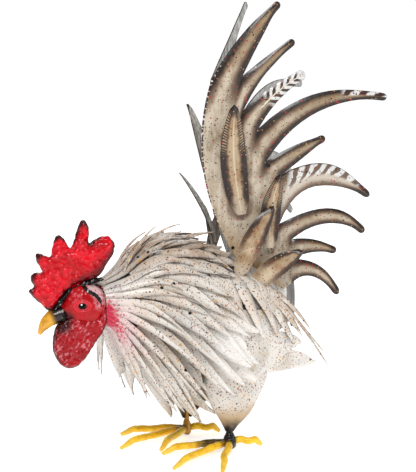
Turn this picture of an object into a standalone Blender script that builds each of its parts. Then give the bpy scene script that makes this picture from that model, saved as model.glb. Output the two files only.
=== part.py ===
"""Garden rooster built from cut, pressed and welded sheet metal, standing on two welded feet.

The bird faces -X with its head turned a little to its right. Lengths are in metres and +Z is up.
Positions along the body count from a point on the ground midway between the legs. At the end the
whole bird is shifted so that the origin lies under the middle of its bounding box.
"""

import math

import bmesh
import bpy
from mathutils import Matrix, Vector

# Sheet, rod and clearance
SHEET = 0.0012
CLEARANCE = 0.0003
WELD = 0.00002
SMOOTH_BELOW = math.radians(40)

# Body shell: distance behind the legs, centre height, half width, half height.
# The first and last rows are the closed ends.
BODY_SECTIONS = (
    (-0.163, 0.188, 0.000, 0.000),
    (-0.150, 0.187, 0.017, 0.020),
    (-0.125, 0.184, 0.028, 0.034),
    (-0.095, 0.183, 0.041, 0.056),
    (-0.060, 0.174, 0.052, 0.074),
    (-0.020, 0.157, 0.061, 0.084),
    (0.020, 0.149, 0.064, 0.080),
    (0.055, 0.153, 0.056, 0.066),
    (0.082, 0.163, 0.041, 0.045),
    (0.099, 0.171, 0.024, 0.026),
    (0.111, 0.175, 0.000, 0.000),
)

# Neck hackles: rings of strands, front ring first. Each row is the start along the body, the
# strand length over the back, on the side and under the chest, the flare under the chest, and
# how far round each flank the ring reaches.
HACKLE_RINGS = (
    (-0.139, 0.062, 0.074, 0.084, 2.4, math.pi),
    (-0.117, 0.074, 0.084, 0.096, 1.5, math.pi),
    (-0.092, 0.074, 0.088, 0.092, 1.0, math.pi),
    (-0.064, 0.056, 0.090, 0.066, 0.62, math.pi),
    (-0.034, 0.034, 0.084, 0.066, 0.36, math.radians(112)),
    (-0.006, 0.026, 0.030, 0.030, 0.36, math.radians(32)),
)
HACKLE_STRANDS = 18
HACKLE_BAND = 0.008
BACK_FLARE = 0.155
SIDE_FLARE = 0.17
HACKLE_DROOP = math.radians(24)
BAND_LIFT = 0.0024
STRAND_SLIT = 0.0012

# Under the flanks the loose sheets hang steeper than the body shell curls in. Behind the widest
# part of the flank they run straight back and stand free.
FLANK_HANG = 0.45
FLANK_END = 0.050

# Saddle: a fan of strands on each flank, laid over the wing. Roots and tips run from the front
# strand to the rear one, as distance behind the legs and angle round from the back.
SADDLE_STRANDS = 8
SADDLE_ROOTS = ((0.012, math.radians(42)), (0.064, math.radians(66)))
SADDLE_TIPS = ((0.004, math.radians(97)), (0.126, math.radians(127)))
SADDLE_LIFT = 0.0048
SADDLE_RISE = 0.0100

# Wing: a plate with four lobes on each flank. Each row is a lobe's tip, the notch under it, and
# the handles of its upper and lower edge, as distance behind the legs and height.
WING_LIFT = 0.0028
WING_ROOTS = ((-0.010, 0.172), (-0.004, 0.086))
WING_START = (0.046, 0.166)
WING_LOBES = (
    ((0.076, 0.149), (0.060, 0.138), (0.064, 0.162), (0.068, 0.142)),
    ((0.095, 0.119), (0.078, 0.113), (0.083, 0.136), (0.088, 0.113)),
    ((0.123, 0.089), (0.048, 0.082), (0.106, 0.109), (0.096, 0.078)),
    ((0.034, 0.079), (0.010, 0.084), (0.043, 0.080), (0.020, 0.078)),
)

# Head, measured from the middle of the skull. Skull sections as for the body.
HEAD_CENTRE = Vector((-0.171, 0.0, 0.188))
HEAD_TURN = math.radians(-23)
SKULL_SECTIONS = (
    (-0.0275, -0.009, 0.000, 0.000),
    (-0.0210, -0.005, 0.012, 0.015),
    (-0.0120, 0.000, 0.017, 0.022),
    (0.0000, 0.000, 0.019, 0.025),
    (0.0120, -0.002, 0.017, 0.022),
    (0.0210, -0.002, 0.012, 0.015),
    (0.0265, -0.002, 0.000, 0.000),
)
EYE_RADIUS = 0.0050
EYE_SIDE = 0.0170
COMB_THICKNESS = 0.012
COMB_ROUNDING = 0.0040
BEAK_PATH = ((0.018, -0.010), (0.031, -0.013), (0.040, -0.018), (0.047, -0.026), (0.051, -0.034))
BEAK_RADII = (0.0095, 0.0095, 0.0080, 0.0052, 0.0018)
WATTLE_THICKNESS = 0.0100
WATTLE_ROUNDING = 0.0035
WATTLE_SPREAD = 0.0078

# Legs and feet
LEG_SPACING = 0.081
LEG_STAGGER = 0.006
LEG_ROD_RADIUS = 0.0034
LEG_TOP = 0.100
ANKLE_PROFILE = (
    (0.0000, 0.0060),
    (0.0030, 0.0080),
    (0.0090, 0.0085),
    (0.0150, 0.0066),
    (0.0215, 0.0046),
    (0.0300, LEG_ROD_RADIUS),
    (LEG_TOP, LEG_ROD_RADIUS),
)
TOE_RADIUS = 0.0047
TOE_HEIGHT = 0.0080
NAIL_RADIUS = 0.0020
KNUCKLE_RISE = 0.0018
TOE_SHAPE = (0.80, 1.0, 0.92, 0.86)
LEFT_TOES = {
    "inner": (-0.080, -0.022),
    "middle": (-0.103, -0.080),
    "outer": (-0.067, -0.124),
    "back": (0.039, -0.056),
}
RIGHT_TOES = {
    "inner": (-0.073, -0.008),
    "middle": (-0.107, 0.026),
    "outer": (-0.074, 0.078),
    "back": (0.033, 0.022),
}

# Thigh: an open funnel of sheet round each leg rod. Height, half width fore and aft, half depth,
# and how far the section sits behind the rod.
THIGH_SECTIONS = (
    (0.0250, 0.0052, 0.0052, 0.0000),
    (0.0300, 0.0120, 0.0070, 0.0030),
    (0.0400, 0.0225, 0.0095, 0.0065),
    (0.0550, 0.0320, 0.0120, 0.0070),
    (0.0680, 0.0375, 0.0135, 0.0060),
    (0.0775, 0.0400, 0.0125, 0.0050),
)
THIGH_OPENING = math.radians(110)

# Tail: two plates that part like a V, each cut into nine sickles. A plate starts from its hinge
# line, given behind and beside the legs, and spreads outwards. The right one also leans back a
# little. Places on a plate are the distance back along it and the height. Each row is a sickle's
# tip, the notch below it, and the handles of its upper and lower edge. The plates differ in their
# lowest sickle, which droops on the right.
LEFT_TAIL_HINGE = (-0.011, 0.006, math.radians(24), 0.0)
RIGHT_TAIL_HINGE = (0.004, 0.003, math.radians(22), math.radians(1.2))
TAIL_ROOTS = ((0.044, 0.216), (0.097, 0.184))
TAIL_START = (0.0095, 0.433)
TAIL_SICKLES = (
    ((0.090, 0.522), (0.048, 0.443), (0.038, 0.489), (0.072, 0.486)),
    ((0.108, 0.478), (0.047, 0.395), (0.076, 0.464), (0.069, 0.441)),
    ((0.121, 0.440), (0.067, 0.374), (0.077, 0.429), (0.096, 0.406)),
    ((0.221, 0.410), (0.077, 0.336), (0.133, 0.441), (0.125, 0.414)),
    ((0.146, 0.364), (0.095, 0.319), (0.107, 0.360), (0.122, 0.340)),
    ((0.201, 0.293), (0.093, 0.260), (0.160, 0.357), (0.118, 0.334)),
    ((0.195, 0.250), (0.109, 0.242), (0.167, 0.303), (0.150, 0.276)),
    ((0.161, 0.228), (0.105, 0.217), (0.138, 0.249), (0.132, 0.231)),
)
LEFT_LOWEST_SICKLE = ((0.164, 0.176), (0.108, 0.192), (0.150, 0.222), (0.131, 0.212))
RIGHT_LOWEST_SICKLE = ((0.194, 0.101), (0.108, 0.190), (0.225, 0.212), (0.170, 0.187))
TRUNK_BOW = 0.052
CAMBER = 0.12
CAMBER_MOST = 0.0030
BLUNT_TIP = 0.80

# Loose tail feathers on the outer side of each plate: base, tip, greatest width, sideways bow,
# and how far base and tip stand off the plate.
TAIL_FEATHERS = {
    "middle": ((0.078, 0.236), (0.088, 0.323), 0.024, 0.004, 0.0085, 0.016),
    "front": ((0.046, 0.219), (0.080, 0.287), 0.023, 0.003, 0.0120, 0.019),
    "lower": ((0.067, 0.203), (0.115, 0.233), 0.024, 0.003, 0.0155, 0.020),
}
LEFT_TAIL_FEATHERS = {
    "tall": ((0.045, 0.276), (0.031, 0.407), 0.031, 0.004, 0.0050, 0.029),
}
RIGHT_TAIL_FEATHERS = {
    "tall": ((0.035, 0.252), (0.020, 0.401), 0.026, 0.004, 0.0050, 0.039),
    "thin": ((0.028, 0.236), (0.013, 0.319), 0.009, 0.002, 0.0085, 0.048),
    "short": ((0.030, 0.226), (0.028, 0.280), 0.011, 0.001, 0.0140, 0.023),
}

# Rivet that holds each wing
RIVET_RADIUS = 0.0030
RIVET_HEIGHT = 0.0016
RIVET_PLACE = (0.004, 0.148)

PARENT_NAME = "rooster"


def millimetres(*places):
    """Places given in millimetres, as metres."""
    return [(forward / 1000, up / 1000) for forward, up in places]


# Curves and stations

def station_slopes(places, values):
    """Slopes for a smooth curve through the stations that never overshoots them."""
    steps = [(values[i + 1] - values[i]) / (places[i + 1] - places[i]) for i in range(len(places) - 1)]
    slopes = [steps[0]]
    for before, after in zip(steps, steps[1:]):
        slopes.append(2 * before * after / (before + after) if before * after > 0 else 0.0)
    return slopes + [steps[-1]]


def through_stations(places, values, at):
    """Value at a place, on the smooth curve through the stations."""
    slopes = station_slopes(places, values)
    at = min(max(at, places[0]), places[-1])
    last = next((i for i in range(1, len(places)) if at <= places[i]), len(places) - 1)
    span = places[last] - places[last - 1]
    t = (at - places[last - 1]) / span
    start, end = values[last - 1], values[last]
    return (
        start * (2 * t**3 - 3 * t**2 + 1)
        + end * (3 * t**2 - 2 * t**3)
        + span * slopes[last - 1] * (t**3 - 2 * t**2 + t)
        + span * slopes[last] * (t**3 - t**2)
    )


def section_at(sections, place):
    """Centre, half width and half height of a lofted form at a place along it.

    The squares of the radii are blended, so that a form closes in a round end and not in a point.
    """
    places = [row[0] for row in sections]
    centre = through_stations(places, [row[1] for row in sections], place)
    width = through_stations(places, [row[2] ** 2 for row in sections], place)
    height = through_stations(places, [row[3] ** 2 for row in sections], place)
    return centre, math.sqrt(max(width, 0.0)), math.sqrt(max(height, 0.0))


# Scene, materials and modifiers

def clear_scene():
    for item in list(bpy.data.objects):
        bpy.data.objects.remove(item)


def new_collection(name):
    collection = bpy.data.collections.new(name)
    bpy.context.scene.collection.children.link(collection)
    return collection


def paint(name, colour, roughness):
    material = bpy.data.materials.new(name)
    material.use_nodes = True
    shader = material.node_tree.nodes["Principled BSDF"]
    shader.inputs["Base Color"].default_value = (*colour, 1.0)
    shader.inputs["Roughness"].default_value = roughness
    return material


def add_piece(name, data, collection, parent, material):
    piece = bpy.data.objects.new(name, data)
    collection.objects.link(piece)
    piece.parent = parent
    data.materials.append(material)
    return piece


def finish_mesh(form, name):
    """Turns a bmesh into a mesh with its faces pointing out, smooth but for its sharp edges."""
    form.normal_update()
    bmesh.ops.recalc_face_normals(form, faces=form.faces)
    mesh = bpy.data.meshes.new(name)
    form.to_mesh(mesh)
    form.free()
    mesh.shade_smooth()
    mesh.set_sharp_from_angle(angle=SMOOTH_BELOW)
    return mesh


def thicken(piece, thickness=SHEET):
    """Gives a sheet its wall, half to each side."""
    wall = piece.modifiers.new("Sheet", "SOLIDIFY")
    wall.thickness = thickness
    wall.offset = 0.0
    wall.use_even_offset = False
    return piece


def grown_copy(piece, cutters):
    """A copy of a piece that is larger all round by the clearance, to cut its neighbours with."""
    bpy.context.view_layer.update()
    graph = bpy.context.evaluated_depsgraph_get()
    mesh = bpy.data.meshes.new_from_object(piece.evaluated_get(graph))
    mesh.transform(piece.matrix_world)
    form = bmesh.new()
    form.from_mesh(mesh)
    bmesh.ops.remove_doubles(form, verts=form.verts, dist=WELD)
    bmesh.ops.recalc_face_normals(form, faces=form.faces)
    form.to_mesh(mesh)
    form.free()
    cutter = bpy.data.objects.new(piece.name + "_cutter", mesh)
    cutters.objects.link(cutter)
    cutter.hide_render = True
    cutter.display_type = "WIRE"
    cutter.parent = piece.parent
    swell = cutter.modifiers.new("Clearance", "DISPLACE")
    swell.strength = 1.5 * CLEARANCE
    swell.mid_level = 0.0
    return cutter


def cut_with(piece, cutter):
    cut = piece.modifiers.new("Cut", "BOOLEAN")
    cut.operation = "DIFFERENCE"
    cut.object = cutter


def stand_on_origin(bird, kept):
    """Shifts the bird so that the origin lies under the middle of its bounding box."""
    bpy.context.view_layer.update()
    graph = bpy.context.evaluated_depsgraph_get()
    corners = []
    for piece in kept.objects:
        if piece.type == "MESH":
            shape = piece.evaluated_get(graph)
            corners += [shape.matrix_world @ Vector(corner) for corner in shape.bound_box]
    lowest = Vector([min(corner[axis] for corner in corners) for axis in range(3)])
    highest = Vector([max(corner[axis] for corner in corners) for axis in range(3)])
    middle = (lowest + highest) / 2
    bird.location = (-middle.x, -middle.y, -lowest.z)


def as_mesh(piece):
    """Replaces a curve object by its mesh, with the caps welded on."""
    bpy.context.view_layer.update()
    graph = bpy.context.evaluated_depsgraph_get()
    mesh = bpy.data.meshes.new_from_object(piece.evaluated_get(graph))
    form = bmesh.new()
    form.from_mesh(mesh)
    bmesh.ops.remove_doubles(form, verts=form.verts, dist=WELD)
    bmesh.ops.recalc_face_normals(form, faces=form.faces)
    form.to_mesh(mesh)
    form.free()
    made = bpy.data.objects.new("made", mesh)
    piece.users_collection[0].objects.link(made)
    made.parent = piece.parent
    made.matrix_local = piece.matrix_local.copy()
    name = piece.name
    bpy.data.objects.remove(piece)
    made.name = name
    return made


# Basic forms

def lofted_mesh(name, place_point, first, last, around, along):
    """A closed form from a sphere whose rings become sections, from first to last along its axis."""
    form = bmesh.new()
    bmesh.ops.create_uvsphere(form, u_segments=around, v_segments=along, radius=1.0)
    for vertex in form.verts:
        share = (1 - max(-1.0, min(1.0, vertex.co.z))) / 2
        angle = math.atan2(vertex.co.y, vertex.co.x)
        vertex.co = place_point(first + (last - first) * share, angle)
    return finish_mesh(form, name)


def rod_curve(name, points, radii, sides_resolution=2):
    """A rod of changing radius through the points."""
    curve = bpy.data.curves.new(name, "CURVE")
    curve.dimensions = "3D"
    curve.bevel_depth = 1.0
    curve.bevel_resolution = sides_resolution
    curve.use_fill_caps = True
    spline = curve.splines.new("POLY")
    spline.points.add(len(points) - 1)
    for control, point, radius in zip(spline.points, points, radii):
        control.co = (*point, 1.0)
        control.radius = radius
    return curve


def flat_curve(name, outline, half_thickness, rounding=0.0):
    """A flat plate cut to an outline, with rounded rims where a rounding is given."""
    curve = bpy.data.curves.new(name, "CURVE")
    curve.dimensions = "2D"
    curve.fill_mode = "BOTH"
    curve.extrude = half_thickness - rounding
    curve.bevel_depth = rounding
    curve.bevel_resolution = 0
    curve.offset = -rounding
    spline = curve.splines.new("POLY")
    spline.points.add(len(outline) - 1)
    for control, (across, up) in zip(spline.points, outline):
        control.co = (across, up, 0.0, 1.0)
    spline.use_cyclic_u = True
    return curve


def ribbon_mesh(name, place_point, rows, across=2):
    """A long grid, bent into place by place_point(along, across) with across from -1 to 1."""
    form = bmesh.new()
    bmesh.ops.create_grid(form, x_segments=rows, y_segments=across, size=1.0)
    for vertex in form.verts:
        vertex.co = place_point((vertex.co.x + 1) / 2, vertex.co.y)
    return finish_mesh(form, name)


# Body and loose sheets over it

def body_point(place, angle):
    """Point on the body shell: angle 0 is the back, 90 degrees the left flank, 180 the belly."""
    centre, width, height = section_at(BODY_SECTIONS, place)
    return Vector((place, -width * math.sin(angle), centre + height * math.cos(angle)))


def folded(angle):
    """The angle from the back, the same on both flanks."""
    return abs(math.remainder(angle, 2 * math.pi))


def cover_point(place, angle, lift):
    """Point of a sheet that lies the given lift outside the body and hangs a little steeper."""
    centre, width, height = section_at(BODY_SECTIONS, min(place, FLANK_END))
    away = folded(angle)
    curl = abs(math.sin(away))
    if away > math.pi / 2:
        under = 2 * away / math.pi - 1
        hang = FLANK_HANG + (1 - FLANK_HANG) * under**2
        curl = math.sqrt(max(0.0, 1 - (hang * math.cos(away)) ** 2))
    side = -math.copysign(curl, math.remainder(angle, 2 * math.pi))
    return Vector((place, side * (width + lift), centre + (height + lift) * math.cos(away)))


def girth_radius(place):
    centre, width, height = section_at(BODY_SECTIONS, min(place, FLANK_END))
    return (width + height) / 2


def between_three(back, side, belly, angle):
    """Blends a value over the back, on the flank and under the belly."""
    share = (1 - math.cos(angle)) / 2
    above = back * (1 - share) * (1 - 2 * share)
    below = belly * share * (2 * share - 1)
    return above + 4 * side * share * (1 - share) + below


def strand_width(t):
    """Half width of a strand as a share of its root, from root to tip."""
    return (1 + 0.35 * math.sin(math.pi * min(1.0, t / 0.8))) * (1 - t**4) + 0.12 * t**4


def fringe_mesh(name, strands, rows, band, place_strand, closed=False, cells=1):
    """A band with a strand hanging from each of its teeth, as one sheet.

    place_strand(strand, along, across) bends it: along runs from -1 to 0 in the band and 0 to 1
    on the strand, and across from -1 to 1 over the strand's own width.
    """
    width = cells + 1
    columns = strands * width + closed
    form = bmesh.new()
    bmesh.ops.create_grid(form, x_segments=rows + band, y_segments=columns - 1, size=1.0)
    places = {}
    for vertex in form.verts:
        row = round((vertex.co.x + 1) / 2 * (rows + band))
        column = round((vertex.co.y + 1) / 2 * (columns - 1))
        places[vertex] = (row, column)
    slits = []
    for face in form.faces:
        corners = [places[vertex] for vertex in face.verts]
        in_slit = min(column for row, column in corners) % width == cells
        if in_slit and max(row for row, column in corners) > band:
            slits.append(face)
    bmesh.ops.delete(form, geom=slits, context="FACES")
    for vertex in form.verts:
        row, column = places[vertex]
        strand, step = divmod(column, width)
        along = (row - band) / (rows if row > band else band)
        vertex.co = place_strand(strand, along, 2 * step / cells - 1)
    bmesh.ops.remove_doubles(form, verts=form.verts, dist=0.00005)
    return finish_mesh(form, name)


# Neck hackles and saddle

def hackle_length(ring, angle):
    """Length of the strand that starts at this angle. Where it would meet a thigh it stops short."""
    start, back, side, chest, chest_flare, reach = ring
    length = between_three(back, side, chest, folded(angle)) * (1 + 0.07 * math.sin(7 * angle + 40 * start))
    thigh_front = LEG_STAGGER / 2 - THIGH_SECTIONS[-1][1]
    if math.radians(116) < folded(angle) < math.radians(172):
        length = min(length, (thigh_front - start) * 1.2)
    return length


def hackle_point(ring, angle, along, across, root_half):
    """Where a hackle ring's sheet lies. Strands droop from the back towards the chest as they run."""
    start, back, side, chest, chest_flare, reach = ring
    flare = max(BACK_FLARE, between_three(BACK_FLARE, SIDE_FLARE, chest_flare, folded(angle)))
    run = along * HACKLE_BAND
    if along > 0:
        run = along * hackle_length(ring, angle) / math.hypot(1, flare + 0.3)
    turn = math.copysign(1.0, math.remainder(angle, 2 * math.pi))
    now = angle + HACKLE_DROOP * math.sin(folded(angle)) * max(along, 0.0) * turn
    flare = max(BACK_FLARE, between_three(BACK_FLARE, SIDE_FLARE, chest_flare, min(folded(now), math.pi)))
    lift = BAND_LIFT + max(0.0, run) * flare
    half = root_half * strand_width(max(along, 0.0))
    return cover_point(start + run, now + across * half / (girth_radius(start + run) + lift), lift)


def hackle_ring(name, ring):
    start, back, side, chest, chest_flare, reach = ring
    closed = reach == math.pi
    strands = HACKLE_STRANDS if closed else round(HACKLE_STRANDS * reach / math.pi)
    step = 2 * reach / strands
    root_half = (step * girth_radius(start) - STRAND_SLIT) / 2

    def place_strand(strand, along, across):
        angle = (strand + 0.5) * step - reach
        return hackle_point(ring, angle, along, across, root_half)

    return fringe_mesh(name, strands, 3, 1, place_strand, closed)


def saddle_mesh(name, side):
    """A fan of strands on one flank: side is 1 on the left and -1 on the right."""
    root_line = Vector(SADDLE_ROOTS[1]) - Vector(SADDLE_ROOTS[0])
    radius = girth_radius(0.0)
    to_length = Vector((1.0, radius))
    pitch = (root_line * to_length).length / SADDLE_STRANDS

    def place_strand(strand, along, across):
        share = (strand + 0.5) / SADDLE_STRANDS
        root = Vector(SADDLE_ROOTS[0]).lerp(Vector(SADDLE_ROOTS[1]), share)
        tip = Vector(SADDLE_TIPS[0]).lerp(Vector(SADDLE_TIPS[1]), share)
        path = (tip - root) * to_length
        reach = along if along > 0 else along * HACKLE_BAND / path.length
        place = root + (tip - root) * reach
        along_root = (root_line * to_length).normalized()
        sideways = Vector((path.y, -path.x)).normalized()
        lateral = along_root.lerp(sideways, min(1.0, max(0.0, 1.6 * along))).normalized()
        half = (pitch - STRAND_SLIT) / 2 * strand_width(max(along, 0.0))
        place += Vector((lateral.x, lateral.y / radius)) * half * across
        lift = SADDLE_LIFT + SADDLE_RISE * share * max(along, 0.0) ** 2
        return cover_point(place.x, side * place.y, lift)

    return fringe_mesh(name, SADDLE_STRANDS, 4, 1, place_strand)


# Plates that end in feathers

def bent_edge(start, handle, end, t):
    """Point on the edge from start to end that the handle bends."""
    start, handle, end = Vector(start), Vector(handle), Vector(end)
    return start * (1 - t) ** 2 + handle * 2 * t * (1 - t) + end * t**2


def feathered_plate(name, lobes, first_notch, roots, bow, rows, band, place_point):
    """A plate whose trunk fans out from its root line and parts into lobes with blunt tips.

    place_point(place, camber) puts a place on the plate into space, pressed out by the camber.
    """
    count = len(lobes)

    def lobe_edges(number, along):
        tip, notch, upper_handle, lower_handle = lobes[number]
        before = lobes[number - 1][1] if number else first_notch
        t = 1 - (1 - along) ** 1.35
        return bent_edge(before, upper_handle, tip, t), bent_edge(notch, lower_handle, tip, t)

    def trunk_edge(number, share):
        root = Vector(roots[0]).lerp(Vector(roots[1]), number / count)
        notch = Vector(lobes[number - 1][1] if number else first_notch)
        handle = (root + notch) / 2 - Vector((bow * max(0.0, 1 - number / (count - 1)), 0.0))
        return bent_edge(root, handle, notch, share)

    def place_lobe(number, along, across):
        if along <= 0:
            upper, lower = trunk_edge(number, 1 + along), trunk_edge(number + 1, 1 + along)
        else:
            upper, lower = lobe_edges(number, along)
            if along == 1:
                last_upper, last_lower = lobe_edges(number, 1 - 1 / rows)
                blunt = (last_lower - last_upper) * BLUNT_TIP / 2
                upper, lower = upper - blunt, lower + blunt
            slit = (lower - upper).normalized() * min(STRAND_SLIT, (lower - upper).length / 4)
            upper, lower = upper + slit / 2, lower - slit / 2
        camber = min(CAMBER_MOST, CAMBER * (lower - upper).length) * (1 - across**2)
        return place_point(upper.lerp(lower, (across + 1) / 2), camber)

    return fringe_mesh(name, count, rows, band, place_lobe, cells=2)


def on_tail_plate(side, place, standoff):
    """A place on a tail plate, moved out from it. Side is 1 on the left and -1 on the right."""
    behind, beside, spread, lean = LEFT_TAIL_HINGE if side > 0 else RIGHT_TAIL_HINGE
    root = TAIL_ROOTS[-1][1]
    along = place.x * math.cos(lean) - (place.y - root) * math.sin(lean)
    height = root + place.x * math.sin(lean) + (place.y - root) * math.cos(lean)
    back = behind + along * math.cos(spread) - standoff * math.sin(spread)
    out = beside + along * math.sin(spread) + standoff * math.cos(spread)
    return Vector((back, -side * out, height))


def on_wing(side, place, camber):
    centre, width, height = section_at(BODY_SECTIONS, min(place.x, FLANK_END))
    rise = (place.y - centre) / (height + WING_LIFT)
    return cover_point(place.x, side * math.acos(max(-1.0, min(1.0, rise))), WING_LIFT)


def rivet_mesh(name, side):
    """A flat-topped dome seated on the wing sheet."""
    form = bmesh.new()
    bmesh.ops.create_cone(
        form,
        cap_ends=True,
        segments=12,
        radius1=RIVET_RADIUS,
        radius2=0.6 * RIVET_RADIUS,
        depth=RIVET_HEIGHT,
    )
    seat = on_wing(side, Vector(RIVET_PLACE), 0.0)
    outward = Vector((0.0, seat.y, 0.0)).normalized()
    stand_off = SHEET / 2 + CLEARANCE + RIVET_HEIGHT / 2
    turn = Vector((0, 0, 1)).rotation_difference(outward).to_matrix().to_4x4()
    form.transform(Matrix.Translation(seat + outward * stand_off) @ turn)
    return finish_mesh(form, name)


def feather_mesh(name, row, side):
    """A single leaf-shaped feather with a raised rib, standing off a tail plate."""
    base, tip, width, bow, base_standoff, tip_standoff = row
    base, tip = Vector(base), Vector(tip)
    aim = (tip - base).normalized()
    across_aim = Vector((-aim.y, aim.x))

    def place_point(along, across):
        place = base.lerp(tip, along) + across_aim * bow * math.sin(math.pi * along)
        swell = 0.5 + 0.5 * math.sin(math.pi * min(1.0, along / 0.9))
        half = width / 2 * (swell * (1 - along**5) + 0.10 * along**5)
        camber = 0.10 * width * (1 - across**2)
        standoff = base_standoff + (tip_standoff - base_standoff) * along**2 + camber
        return on_tail_plate(side, place + across_aim * half * across, standoff)

    return ribbon_mesh(name, place_point, 8)


# Head

def head_matrix():
    return Matrix.Translation(HEAD_CENTRE) @ Matrix.Rotation(HEAD_TURN, 4, "Z")


def skull_point(place, angle):
    centre, width, height = section_at(SKULL_SECTIONS, place)
    return Vector((place, -width * math.sin(angle), centre + height * math.cos(angle)))


def comb_outline():
    """Outline of the comb, forward and up from the middle of the skull."""
    base = millimetres((-17, 30), (0, 23), (15, 17), (24, 8), (33, -4), (40, -7))
    front = millimetres((52, 4), (62, 14), (61, 18), (57, 21), (60, 30), (58, 35), (53, 37), (47, 38))
    third = millimetres((52, 47), (54, 57), (50, 59), (43, 56), (37, 55))
    fourth = millimetres((35, 66), (32, 76), (27, 79), (22, 74), (15, 64))
    peak = millimetres((10, 75), (4, 91), (0, 95), (-4, 92), (-7, 80), (-6, 69))
    back = millimetres((-12, 72), (-22, 76), (-30, 75), (-35, 68), (-35, 58), (-27, 44))
    return base + front + third + fourth + peak + back


def wattle_outline(side):
    """Outline of a wattle, forward and up from the middle of the skull.

    The left one runs up into the ear lobe. The right one stops short of the neck, to which the
    head is turned.
    """
    front = millimetres((14, -14), (25, -19), (32, -29), (35, -43), (35, -56), (30, -67))
    bottom = millimetres((20, -73), (9, -71), (0, -63), (-7, -54), (-13, -44))
    lobe = millimetres((-19, -36), (-25, -27), (-26, -14), (-24, -4), (-19, 1), (-15, -3), (-14, -16))
    neck_end = millimetres((-17, -30), (-12, -18))
    return front + bottom + (lobe if side > 0 else neck_end)


def head_plate(name, outline, thickness, rounding, offset, collection, parent, material):
    """A plate that stands along the head, the given distance to its left."""
    curve = flat_curve(name, [(-forward, up) for forward, up in outline], thickness / 2, rounding)
    plate = add_piece(name, curve, collection, parent, material)
    upright = Matrix.Rotation(math.radians(90), 4, "X")
    plate.matrix_local = head_matrix() @ Matrix.Translation((0, -offset, 0)) @ upright
    return as_mesh(plate)


# Legs

def leg_foot(side):
    """Where a leg stands: side is 1 on the left and -1 on the right."""
    return Vector((side * LEG_STAGGER / 2, -side * LEG_SPACING / 2, 0.0))


def thigh_mesh(name, side):
    foot = leg_foot(side)
    heights = [row[0] for row in THIGH_SECTIONS]

    def place_point(along, across):
        height = heights[0] + (heights[-1] - heights[0]) * along
        width = through_stations(heights, [row[1] for row in THIGH_SECTIONS], height)
        depth = through_stations(heights, [row[2] for row in THIGH_SECTIONS], height)
        angle = math.pi + across * (math.pi - THIGH_OPENING / 2)
        behind = through_stations(heights, [row[3] for row in THIGH_SECTIONS], height)
        return foot + Vector((behind + width * math.sin(angle), side * depth * math.cos(angle), height))

    return ribbon_mesh(name, place_point, 7, 10)


def toe_points(foot, tip):
    """A toe runs out level, arches at its knuckle and dips to the ground at its nail."""
    tip = Vector((*tip, NAIL_RADIUS))
    path = tip - foot
    sideways = Vector((-path.y, path.x, 0)).normalized() * 0.0016
    rises = (TOE_HEIGHT, TOE_HEIGHT + KNUCKLE_RISE, TOE_HEIGHT, TOE_HEIGHT + 0.5 * KNUCKLE_RISE)
    shares = (0.05, 0.34, 0.58, 0.80)
    bends = (0.0, 1.0, -1.0, 0.6)
    points = []
    for share, rise, bend in zip(shares, rises, bends):
        point = foot + path * share + sideways * bend
        point.z = rise
        points.append(point)
    return points + [tip]


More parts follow.
